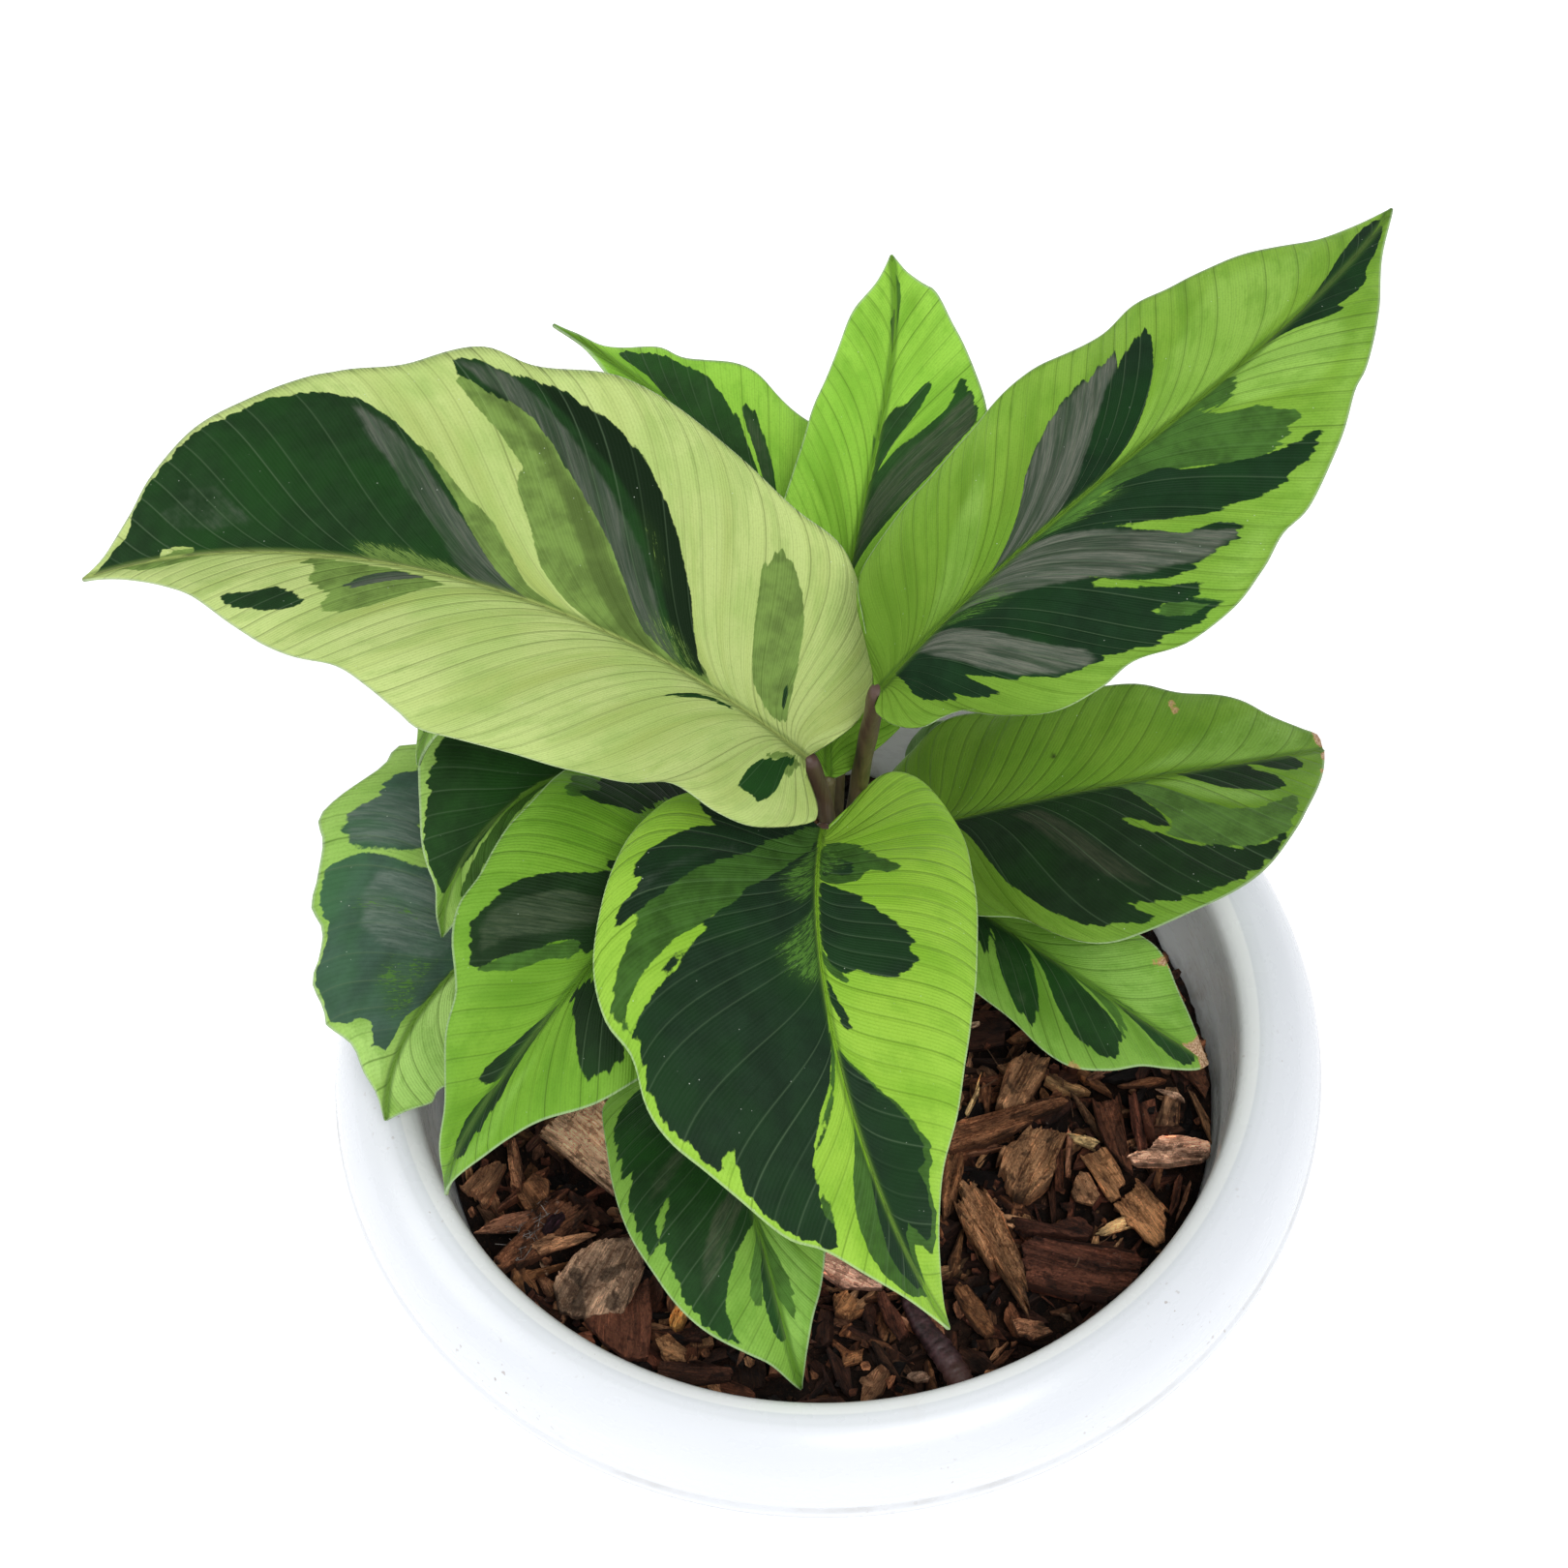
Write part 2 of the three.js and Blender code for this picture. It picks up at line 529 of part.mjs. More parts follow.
// The crown: a low rootstock with every stalk's sheath growing from it.
function crownSolid() {
  const bottom = SOIL_TOP + GAP;
  const profile = [[0, bottom], [15, bottom], [16.5, 56], [14, 61], [8, 65], [0, 66]].map(
    ([r, z]) => new THREE.Vector2(r, z),
  );
  const stock = new THREE.LatheGeometry(profile, 20)
    .rotateX(Math.PI / 2)
    .translate(...CROWN_CENTRE, 0);
  let solid = solidOf(stock);
  for (const leaf of LEAVES) solid = solid.add(solidOf(new Stalk(leaf).sheath()));
  return geometryOf(solid);
}

function chipSolid([x, y, length, width, thickness, heading]) {
  const outline = CHIP_OUTLINE.map(([u, v]) => new THREE.Vector2(u * length, v * width));
  return new THREE.ExtrudeGeometry(new THREE.Shape(outline), {
    depth: thickness,
    bevelEnabled: false,
  })
    .rotateZ(THREE.MathUtils.degToRad(heading))
    .translate(x, y, SOIL_TOP + GAP);
}

const plant = new THREE.Group();

function place(name, geometry, material) {
  const mesh = new THREE.Mesh(geometry, material);
  mesh.name = name;
  plant.add(mesh);
}

place("pot", potSolid(), finish.pot);
place("soil", soilSolid(), finish.soil);
place("crown", crownSolid(), finish.stalk);
for (const leaf of LEAVES) {
  place(leaf.name, bladeSolid(leaf), finish[leaf.finish]);
  place(leaf.name.replace("leaf", "stalk"), new Stalk(leaf).shaft(), finish.stalk);
}
for (const chip of CHIPS) place(chip.name, chipSolid(chip.at), finish[chip.finish]);
place("seed_husk", chipSolid(HUSK.at), finish.husk);
place("dead_stem", stem(vectors(DEAD_STEM_PATH), DEAD_STEM_RADII, 8), finish.deadStem);

export default plant;
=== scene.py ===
import math

import bpy
import numpy as np
from mathutils import Matrix, Vector


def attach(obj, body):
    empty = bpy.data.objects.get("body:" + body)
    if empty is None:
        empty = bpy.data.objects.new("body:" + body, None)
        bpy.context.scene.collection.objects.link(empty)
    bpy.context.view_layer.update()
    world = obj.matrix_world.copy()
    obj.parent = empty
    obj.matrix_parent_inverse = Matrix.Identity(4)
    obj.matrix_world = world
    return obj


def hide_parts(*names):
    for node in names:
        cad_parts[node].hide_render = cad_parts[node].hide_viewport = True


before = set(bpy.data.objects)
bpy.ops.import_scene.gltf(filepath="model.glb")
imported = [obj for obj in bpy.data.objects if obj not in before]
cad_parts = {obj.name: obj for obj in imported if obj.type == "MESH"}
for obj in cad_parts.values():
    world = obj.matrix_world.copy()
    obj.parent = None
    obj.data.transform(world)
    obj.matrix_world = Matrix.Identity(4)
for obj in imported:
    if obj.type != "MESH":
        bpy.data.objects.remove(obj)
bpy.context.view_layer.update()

MM = 0.001
# Pattern coordinates of leaves and bark, for each mm
UV_PER_MM = 0.1
# Limits for a random phase, in radians
ANY_PHASE = (0, 6.28)

# Camera: the photograph looks down on the plant from in front, a little rolled
CAMERA_PLACE_MM = (-5.0, -384.3, 723.5)
CAMERA_ELEVATION = 55.88
CAMERA_ROLL = -3.22
CAMERA_LENS_MM = 94.79
SENSOR_MM = 36.0

cam_data = bpy.data.cameras.new("camera")
cam_data.sensor_width = SENSOR_MM
cam_data.lens = CAMERA_LENS_MM
cam_data.clip_end = 20.0
camera = bpy.data.objects.new("camera", cam_data)
camera.location = Vector(CAMERA_PLACE_MM) * MM
tip_up = Matrix.Rotation(math.radians(90 - CAMERA_ELEVATION), 3, "X")
camera.rotation_euler = (tip_up @ Matrix.Rotation(math.radians(CAMERA_ROLL), 3, "Z")).to_euler()
bpy.context.scene.collection.objects.link(camera)
bpy.context.scene.camera = camera
bpy.context.scene.view_settings.view_transform = "Standard"

rng = np.random.default_rng(7)


# Node helpers

class Nodes:
    """A material's node tree with short ways to add and join nodes."""

    def __init__(self, name):
        self.material = bpy.data.materials.new(name)
        self.material.use_nodes = True
        self.tree = self.material.node_tree
        self.bsdf = self.tree.nodes["Principled BSDF"]

    def new(self, kind, **settings):
        node = self.tree.nodes.new(kind)
        for key, value in settings.items():
            setattr(node, key, value)
        return node

    def put(self, socket, value):
        if isinstance(value, bpy.types.NodeSocket):
            self.tree.links.new(value, socket)
        elif value is not None:
            socket.default_value = value

    def math(self, operation, a, b=None, c=None):
        node = self.new("ShaderNodeMath", operation=operation)
        for socket, value in zip(node.inputs, (a, b, c)):
            self.put(socket, value)
        return node.outputs[0]

    def mix(self, share, a, b, blend="MIX"):
        node = self.new("ShaderNodeMix", data_type="RGBA", blend_type=blend)
        self.put(node.inputs[0], share)
        self.put(node.inputs[6], a if isinstance(a, bpy.types.NodeSocket) else (*a, 1))
        self.put(node.inputs[7], b if isinstance(b, bpy.types.NodeSocket) else (*b, 1))
        return node.outputs[2]

    def step(self, value, low, high):
        """0 below low, 1 above high, smooth between."""
        node = self.new("ShaderNodeMapRange", interpolation_type="SMOOTHSTEP")
        self.put(node.inputs[0], value)
        node.inputs[1].default_value = low
        node.inputs[2].default_value = high
        return node.outputs[0]

    def vector(self, x, y, z=0.0):
        node = self.new("ShaderNodeCombineXYZ")
        for socket, value in zip(node.inputs, (x, y, z)):
            self.put(socket, value)
        return node.outputs[0]

    def noise(self, where, scale, detail=2.0, rough=0.5):
        node = self.new("ShaderNodeTexNoise")
        self.put(node.inputs["Vector"], where)
        node.inputs["Scale"].default_value = scale
        node.inputs["Detail"].default_value = detail
        node.inputs["Roughness"].default_value = rough
        return node.outputs["Fac"]

    def stretched(self, where, scale):
        node = self.new("ShaderNodeVectorMath", operation="MULTIPLY")
        self.put(node.inputs[0], where)
        node.inputs[1].default_value = scale
        return node.outputs[0]

    def bump(self, height, distance, strength=1.0):
        node = self.new("ShaderNodeBump")
        node.inputs["Strength"].default_value = strength
        node.inputs["Distance"].default_value = distance
        self.put(node.inputs["Height"], height)
        return node.outputs[0]

    def attribute(self, name):
        return self.new("ShaderNodeAttribute", attribute_name=name)

    def uv(self, name):
        node = self.new("ShaderNodeUVMap", uv_map=name)
        split = self.new("ShaderNodeSeparateXYZ")
        self.put(split.inputs[0], node.outputs[0])
        return node.outputs[0], split.outputs[0], split.outputs[1]

    def place(self):
        return self.new("ShaderNodeTexCoord").outputs["Object"]


def split_colour(nodes, name):
    source = nodes.attribute(name)
    parts = nodes.new("ShaderNodeSeparateColor")
    nodes.put(parts.inputs[0], source.outputs["Color"])
    return parts.outputs[0], parts.outputs[1], parts.outputs[2]


def make_mesh(name, vertices, faces, smooth=True):
    mesh = bpy.data.meshes.new(name)
    mesh.from_pydata([tuple(v) for v in np.asarray(vertices) * MM], [], faces)
    mesh.polygons.foreach_set("use_smooth", [smooth] * len(mesh.polygons))
    mesh.validate()
    mesh.update()
    obj = bpy.data.objects.new(name, mesh)
    bpy.context.scene.collection.objects.link(obj)
    return obj


def set_uv(mesh, name, per_vertex):
    layer = mesh.uv_layers.new(name=name)
    corners = np.empty(len(mesh.loops), dtype=np.int64)
    mesh.loops.foreach_get("vertex_index", corners)
    layer.data.foreach_set("uv", per_vertex[corners].astype(np.float32).ravel())


def set_colour(mesh, name, per_vertex):
    layer = mesh.attributes.new(name, "FLOAT_COLOR", "POINT")
    values = np.ones((len(mesh.vertices), 4), dtype=np.float32)
    values[:, :3] = per_vertex
    layer.data.foreach_set("color", values.ravel())


def finish_piece(obj, material, slot, *nodes):
    obj.data.materials.append(material)
    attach(obj, "root")
    if nodes:
        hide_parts(*nodes)


# Curves

def unit(v):
    return v / np.linalg.norm(v, axis=-1, keepdims=True)


def bezier(points, s):
    p = np.asarray(points, float)
    s = np.asarray(s, float)[..., None]
    r = 1 - s
    return r**3 * p[0] + 3 * r * r * s * p[1] + 3 * r * s * s * p[2] + s**3 * p[3]


def bezier_slope(points, s):
    p = np.asarray(points, float)
    s = np.asarray(s, float)[..., None]
    r = 1 - s
    return 3 * (r * r * (p[1] - p[0]) + 2 * r * s * (p[2] - p[1]) + s * s * (p[3] - p[2]))


def curve_length(path):
    return np.linalg.norm(np.diff(path, axis=0), axis=1).sum()


def even_points(path, count):
    """count points evenly spaced along a fine path."""
    run = np.concatenate([[0], np.cumsum(np.linalg.norm(np.diff(path, axis=0), axis=1))])
    at = np.linspace(0, run[-1], count)
    return np.stack([np.interp(at, run, path[:, k]) for k in range(path.shape[1])], axis=1)


def smooth_outline(points, count):
    """An even Catmull-Rom curve through the outline's points."""
    p = np.asarray(points, float)
    last = len(p) - 1
    fine = []
    for i in range(last):
        before, a, b, after = p[max(i - 1, 0)], p[i], p[i + 1], p[min(i + 2, last)]
        start, end = (b - before) / 2, (after - a) / 2
        for w in np.linspace(0, 1, 16, endpoint=False):
            fine.append(
                (2 * a - 2 * b + start + end) * w**3
                + (-3 * a + 3 * b - 2 * start - end) * w**2
                + start * w
                + a
            )
    fine.append(p[last])
    return even_points(np.array(fine), count)


# Leaves: ribs, stalks, outlines, roll, fold and droop are those of the solid model, in mm and
# degrees. Patches are outlines in (percent along the row of veins, percent from the midrib to the
# margin), read off the plant.

# In each look, base sets how strongly painted shade darkens the ground near the blade's base, and one colour
# is the painted sheen over dark green
PALE = dict(ground=(0.475, 0.585, 0.200), shade=(0.36, 0.45, 0.120), mid=(0.180, 0.290, 0.062),
            dark=(0.0105, 0.038, 0.009), painted_sheen=(0.088, 0.108, 0.082), base=0.15)
LIME = dict(ground=(0.212, 0.398, 0.040), shade=(0.12, 0.25, 0.018), mid=(0.060, 0.155, 0.024),
            dark=(0.007, 0.028, 0.009), painted_sheen=(0.130, 0.145, 0.116), base=0.6)
VIVID = dict(ground=(0.300, 0.525, 0.050), shade=(0.20, 0.41, 0.022), mid=(0.050, 0.130, 0.020),
             dark=(0.010, 0.028, 0.012), painted_sheen=(0.045, 0.065, 0.048), base=0.1)
# A darker olive: the leaf's own tone, and painted shade for leaves lying under the upper ones
SHADED_OLIVE = dict(ground=(0.150, 0.290, 0.026), shade=(0.105, 0.21, 0.015), mid=(0.085, 0.180, 0.034),
             dark=(0.010, 0.026, 0.009), painted_sheen=(0.036, 0.046, 0.026), base=0.5)
FRESH = dict(ground=(0.175, 0.365, 0.030), shade=(0.11, 0.26, 0.016), mid=(0.062, 0.160, 0.022),
             dark=(0.011, 0.030, 0.009), painted_sheen=(0.050, 0.075, 0.040), base=0.2)
BACK = dict(ground=(0.300, 0.590, 0.060), shade=(0.16, 0.36, 0.025), mid=(0.075, 0.190, 0.026),
            dark=(0.020, 0.062, 0.014), painted_sheen=(0.066, 0.092, 0.050), base=0.5)
DEEP = dict(ground=(0.28, 0.46, 0.095), shade=(0.13, 0.28, 0.026), mid=(0.045, 0.120, 0.014),
            dark=(0.014, 0.048, 0.010), painted_sheen=(0.090, 0.135, 0.105), base=0.2)
WAVY = dict(ground=(0.34, 0.55, 0.120), shade=(0.15, 0.30, 0.035), mid=(0.07, 0.16, 0.03),
            dark=(0.055, 0.108, 0.074), painted_sheen=(0.120, 0.170, 0.142), base=0.2)
LOW = dict(ground=(0.205, 0.400, 0.055), shade=(0.12, 0.27, 0.025), mid=(0.075, 0.185, 0.028),
           dark=(0.015, 0.050, 0.012), painted_sheen=(0.060, 0.085, 0.045), base=0.2)

LEAVES = {
    "leaf_left_large": dict(
        look=PALE, radius=1.5, roll=(-6, -4), fold=(20, 16), droop=(14, 10),
        rib=[(-1, -1, 165), (-35, 25, 183), (-85, 45, 180), (-124, 51, 156)],
        stalk=[(4, -2, 55), (4, -2, 100), (4, 5, 140), (-1, -1, 165)],
        left=[(-3, 7), (-7, 9.5), (-1, 17), (6, 20), (15, 21), (23, 26), (40, 30), (56, 33), (63, 31),
            (70, 28), (77, 25.5), (87.5, 24), (100, 18.5), (112.5, 11), (127, 4.5)],
        right=[(-1, 7), (-1, 14), (4, 22), (14, 31.5), (24, 33.5), (40, 40), (54, 43), (67, 40.5),
            (76, 42), (86, 36.5), (97, 35), (104, 33), (118, 24), (126, 16), (130, 9.5), (135, 3.2)],
        patches=[
            ("left", "dark", [(11, 24), (13.5, 34), (13.7, 45), (14.5, 58), (16, 68), (19, 68), (20, 50),
              (19.5, 38), (18, 33), (16.5, 30), (14.5, 22), (12, 20)]),
            ("left", "mid", [(8, 26), (12, 16), (16, 18), (19, 27), (20, 36), (14, 30), (13, 45), (11, 34)]),
            ("left", "dark", [(34, 8), (38, 9), (40, 14), (40, 30), (39.4, 38), (38.8, 24), (37.5, 14)]),
            ("left", "mid", [(70, 17), (68.6, 40), (68.4, 54), (69.6, 64), (71, 65), (72.7, 54), (75, 52),
              (77, 46), (78.6, 34), (81, 28), (82, 17), (76, 14)]),
            ("left", "dark", [(74.8, 60), (77.5, 59), (78, 70), (79.4, 82), (78.5, 90), (76, 85),
              (74, 80), (72.7, 68), (73.2, 64)]),
            ("left", "dark", [(72.3, 16), (75, 16), (74.6, 30), (73.5, 46), (72.5, 46)]),
            ("left", "painted_sheen", [(72, 14), (75, 14), (74.6, 30), (73.5, 46), (72, 46)]),
            ("left", "mid", [(91, 0), (90, 30), (91, 50), (93, 63), (95, 50), (97.5, 20), (98, 0)]),
            ("right", "mid", [(21, 16), (22, 28), (23, 40), (25, 60), (27, 72), (29.5, 73), (32, 60),
              (32, 40), (31.5, 20), (29, 12), (24, 11)]),
            ("right", "dark", [(22.7, 18), (23.8, 20), (24.2, 30), (23.4, 35), (22.7, 25)]),
            ("right", "dark", [(43, 6), (42, 20), (41.6, 35), (42.5, 48), (44, 62), (46, 75), (48.5, 85),
              (51, 92), (53, 90), (55, 88), (57, 94), (59, 96), (59.5, 90), (58, 82), (56, 75), (54, 65),
              (52, 55), (50.5, 42), (50, 30), (50.5, 12), (48, 5)]),
            ("right", "deep", [(42, 6), (41, 35), (43, 62), (48, 86), (51, 92), (53, 90), (50, 74),
              (47, 55), (45.5, 35), (46, 6)], 0.9),
            ("right", "deep", [(50.5, 0), (50.3, 30), (51, 45), (53, 58), (55.5, 72), (57.5, 84),
              (59, 80), (56.6, 66), (55, 48), (54.6, 20), (55, 0)], 0.7),
            ("right", "painted_sheen", [(47, 6), (46.5, 30), (47.5, 45), (49.5, 62), (52, 76), (56, 90), (59, 96),
              (57.5, 82), (54.5, 66), (51.5, 50), (50.5, 30), (50.5, 6)]),
            ("right", "mid", [(43, 0), (42, 10), (45, 30), (47, 50), (50, 66), (54, 84), (58, 92),
              (60, 88), (59.4, 74), (57.6, 57), (59, 53), (59.2, 40), (60.3, 25), (60.3, 10), (59, 0)]),
            ("right", "mid", [(62, 0), (64, 12), (63, 25), (62.7, 38), (64.5, 50), (65.5, 62), (68, 66),
              (69, 40), (70, 20), (72, 0)]),
            ("right", "dark", [(92, 44), (94, 76), (96, 80), (98, 62), (99.2, 20), (99, 0), (96, 0),
              (94.4, 10)]),
            ("right", "dark", [(66.5, 0), (66.5, 10), (65.7, 30), (65.5, 45), (66, 60), (67.5, 75),
              (70, 86), (73, 92), (77, 96), (79, 94.5), (82, 97), (92, 97), (94, 80), (95, 62), (94, 45),
              (92.5, 30), (91, 20), (92, 10), (94, 0)]),
            ("right", "painted_sheen", [(66, 0), (65.7, 35), (66.8, 58), (68.5, 74), (70, 82), (70.3, 68),
              (69.5, 50), (69.2, 30), (70.5, 10), (71, 0)]),
            ("right", "painted_sheen", [(84, 32), (84, 60), (87, 74), (91, 70), (91, 48), (88, 30)], 0.35),
            ("right", "fleck", [(71, 0), (71, 12), (74, 17), (78, 18), (79.5, 8), (80, 0)]),
            ("right", "fleck", [(43, 2), (44, 20), (47, 24), (50, 14), (50, 2)], 0.6),
            ("right", "fleck", [(44.5, 34), (45, 50), (46.5, 55), (46.3, 36)], 0.3),
            ("right", "mid", [(92, 8), (90.5, 18), (92, 24), (94.5, 12), (96, 0), (94, 0)]),
        ],
    ),
    "leaf_right_large": dict(
        look=LIME, radius=1.55, roll=(0, 4), fold=(-4, -6), droop=(16, 6),
        rib=[(11, -3, 186), (42.5, 23.5, 203), (84, 48, 205), (104, 87, 192)],
        stalk=[(4, 14, 55), (3.5, 14.5, 100), (7.4, 8.6, 145), (11, -3, 186)],
        left=[(2, 3.6), (7, 11.2), (11.2, 17.6), (17, 20.5), (24, 22.4), (32, 23.4), (48.5, 26),
            (57, 26.4), (65.5, 25.2), (73.6, 23.4), (82, 23.4), (90, 21), (99, 18.5), (106, 15.1),
            (113, 11), (125.4, 3.8)],
        right=[(-2.8, 1.8), (-2.4, 6), (0, 9.8), (4, 11.5), (7.5, 13.6), (12, 19.4), (18, 23.8),
            (25, 25.8), (32, 26.2), (41, 30), (50, 30.7), (58, 28.7), (65, 25.9), (72, 25.2), (84, 20.6),
            (92.6, 16.2), (98, 14.5), (109, 9.3), (121.3, 3.3)],
        patches=[
            ("left", "dark", [(48.5, 4), (48, 13), (47.5, 30), (47, 45), (48.5, 58), (51, 68), (54, 72),
              (57, 76), (59, 76), (60, 66), (62, 74), (64, 77), (65, 70), (65.5, 55), (65.8, 35),
              (66, 18), (65, 4)]),
            ("left", "painted_sheen", [(48, 4), (47.5, 30), (47, 45), (48.5, 58), (51, 68), (54, 72), (57, 76),
              (59, 78), (59.8, 68), (58, 60), (57.2, 45), (57.4, 30), (58.5, 13), (59, 4)]),
            ("left", "dark", [(88, 0), (89.5, 22), (91, 40), (93, 55), (95, 68), (97, 70), (98, 45),
              (97.5, 20), (96.5, 0)]),
            ("right", "dark", [(22, 0), (17, 12), (14, 27), (12, 42), (12, 58), (15, 60), (18, 57),
              (18.6, 50), (20, 56), (21, 60), (23.3, 65), (23.7, 45), (24.5, 45), (25.5, 58), (27, 66),
              (28, 75), (30, 84), (33, 84), (35, 86), (37, 89), (39, 87), (40, 90), (41, 93), (44, 93),
              (44.5, 80), (46, 83), (46.7, 78), (45, 65), (44, 50), (44, 46), (45.5, 45), (45.5, 55),
              (46, 66), (48, 74), (50, 76), (51, 80), (53, 82), (54.5, 80), (55, 72), (53, 62), (53, 45),
              (54, 38), (55, 58), (57.5, 70), (60, 82), (63, 85), (65, 89), (67.5, 85), (66, 78),
              (64, 68), (63, 55), (62.5, 42), (63.5, 30), (62, 18), (58, 12), (56, 0)]),
            ("right", "gap", [(52.7, 62), (53.2, 45), (53.8, 28), (54.6, 28), (54, 45), (54.8, 60),
              (55, 72)]),
            ("right", "mid", [(41, 74), (41.5, 88), (44.4, 93), (44.6, 78), (43, 72)]),
            ("right", "gap", [(41.3, 76), (41.8, 85), (43.8, 88), (44, 78), (43, 74)]),
            ("right", "painted_sheen", [(30, 0), (26.5, 20), (26, 45), (27, 62), (29, 78), (31, 84), (33, 72),
              (32.4, 50), (33.4, 30), (36, 0)]),
            ("right", "painted_sheen", [(40, 0), (42, 20), (44, 35), (45.5, 45), (47, 60), (50, 76), (54, 82),
              (53, 60), (52.8, 40), (54, 15), (55, 0)]),
            ("right", "mid", [(56, 0), (56.5, 12), (62, 18), (62.8, 45), (63, 58), (64, 68), (66, 72),
              (68, 70), (70, 72), (70.5, 60), (71.5, 50), (71, 38), (72, 25), (77, 0)]),
            ("right", "mid", [(74, 12), (72.5, 30), (74, 32), (77, 22), (79.5, 6), (80, 0), (75, 0)]),
            ("right", "fleck", [(55, 4), (55.5, 18), (60, 24), (63, 14), (66, 2)]),
            ("right", "fleck", [(36, 4), (38, 20), (42, 24), (45, 14), (46, 2)], 0.6),
            ("right", "dark", [(83.5, 0), (84, 25), (84, 45), (84.6, 60), (86, 52), (87, 65), (88.5, 70),
              (91, 66), (93, 72), (96, 66), (97.5, 40), (98, 10), (97, 0)]),
            ("left", "light", [(30, 14), (33, 50), (38, 66), (39.6, 60), (39.8, 30), (39.6, 8)], 0.8),
            ("left", "light", [(66, 10), (67, 50), (74, 84), (88, 80), (84, 30), (78, 8)], 0.55),
            ("right", "light", [(72, 36), (75.6, 24), (79.6, 2), (83.6, 2), (84, 60), (80, 76),
              (74, 70)], 0.85),
            ("right", "light", [(46, 96), (48, 84), (56, 88), (66, 95), (80, 80), (84, 96)], 0.5),
        ],
    ),
    "leaf_front_heart": dict(
        look=VIVID, radius=1.5, roll=(-4, 0), fold=(-4, 10), droop=(22, 14),
        rib=[(1, -5, 150), (-5, -35, 159), (4, -76, 148), (17, -79, 111)],
        stalk=[(-1, -8, 55), (-1, -9, 90), (1, -3, 130), (1, -5, 150)],
        left=[(-9, 5.2), (-16, 8), (-19, 11), (-19, 15.5), (-15, 20.3), (-7, 25), (10, 28), (29, 27),
            (43, 24), (53, 20.6), (63, 16.8), (73, 11.8), (82.5, 7.2), (93, 3.2)],
        right=[(-2, 9), (-3, 19), (1, 26.5), (5.5, 30.3), (10, 32.5), (18, 35), (27, 37), (34.5, 36),
            (40, 32.8), (47, 32.2), (52, 30), (57, 26), (62, 22.3), (69, 17.5), (73, 12.7), (78, 9),
            (87, 4)],
        patches=[
            ("left", "dark", [(28, 9), (31, 16), (31.6, 23), (34, 31), (36.4, 32), (37.4, 26), (36.8, 18),
              (38.6, 8), (34, 6)]),
            ("left", "fleck", [(22, 6), (28, 20), (34, 26), (38, 14), (38, 4)], 0.8),
            ("left", "mid", [(23, 12), (24.5, 24), (27, 31), (30, 38), (33, 44), (36, 55), (37.5, 50),
              (36, 38), (39, 32), (40, 20), (40.5, 6), (32, 0)]),
            ("left", "dark", [(40.5, 6), (41, 20), (43, 34), (46, 44), (49, 55), (52, 62), (55, 64),
              (57, 56), (58, 52), (58, 40), (57.5, 32), (59, 26), (58.5, 14), (56, 4)]),
            ("left", "mid", [(56, 2), (58, 14), (59, 28), (60.5, 26), (60, 12), (59, 2)]),
            ("left", "dark", [(61, 6), (63, 14), (65, 20), (66, 26), (67.2, 22), (66.5, 14), (64, 6)]),
            ("left", "dark", [(71, 0), (72, 25), (74, 45), (76, 60), (78.5, 72), (80.5, 74), (81.5, 68),
              (83.5, 76), (86, 80), (88.5, 80), (89.5, 68), (88.5, 55), (87.5, 40), (89, 28), (92, 20),
              (95, 10), (97, 0)]),
            ("left", "mid", [(70.5, 0), (71.6, 25), (73.6, 45), (75.6, 62), (78, 78), (81, 84), (83, 78),
              (86, 90), (89, 90), (91, 72), (90, 55), (90, 38), (94, 26), (97.5, 0)]),
            ("right", "dark", [(0, 20), (8, 22), (16, 25), (22, 29), (28, 38), (32, 47), (35.5, 60),
              (38.6, 76), (39.4, 86), (37.4, 89), (35.4, 80), (33.4, 86), (31, 80), (29, 74), (26, 60),
              (24, 66), (20, 80), (10, 95), (0, 90)]),
            ("right", "painted_sheen", [(29, 48), (32, 62), (35, 80), (38, 88), (37, 78), (34, 62), (30.5, 45)], 0.6),
            ("right", "mid", [(0, 30), (16, 32), (24, 40), (29, 52), (33, 66), (37, 78), (41, 80),
              (43, 88), (46, 97), (49, 97), (50, 80), (48, 62), (44, 48), (41, 36), (37, 22), (33, 12),
              (28, 4), (20, 0), (0, 0)]),
            ("right", "clear", [(42.2, 48), (43.4, 58), (44.6, 68), (45.8, 80), (47.4, 92), (48.8, 97),
              (49.2, 88), (48.8, 76), (47.4, 62), (45.4, 51), (43.6, 45)]),
            ("right", "clear", [(40.6, 96), (38.8, 88), (37, 86), (36, 92), (37, 100), (41, 100)]),
            ("right", "dark", [(45.4, 63), (46.2, 71), (47.4, 79), (47.8, 74), (46.8, 66)]),
            ("right", "dark", [(22, 5), (27, 10), (31, 18), (34.6, 27), (38.4, 38), (42, 49), (45.6, 60),
              (47.6, 72), (49, 94), (52, 96), (55, 95.5), (60, 96.5), (65, 96), (68, 92), (70, 96),
              (76, 95.5), (80, 97), (81, 90), (80, 80), (76.5, 66), (73.5, 50), (72, 35), (71.5, 20),
              (69, 6), (64, 0), (30, 0)]),
            ("right", "gap", [(65.5, 83), (67, 88), (68, 93), (66.5, 96), (65.2, 90)]),
            ("right", "fleck", [(48, 2), (49, 16), (51, 30), (55, 26), (60, 14), (62, 3)], 0.85),
            ("right", "fleck", [(24, 2), (29, 10), (36, 24), (41, 22), (45, 12), (44, 2)], 0.85),
            ("right", "mid", [(67, 0), (70, 10), (72.2, 24), (73.4, 46), (74.2, 50), (73.6, 30),
              (71.8, 10), (70, 0)]),
            ("right", "mid", [(76.6, 62), (77.4, 74), (79, 84), (79.6, 76), (78, 62)]),
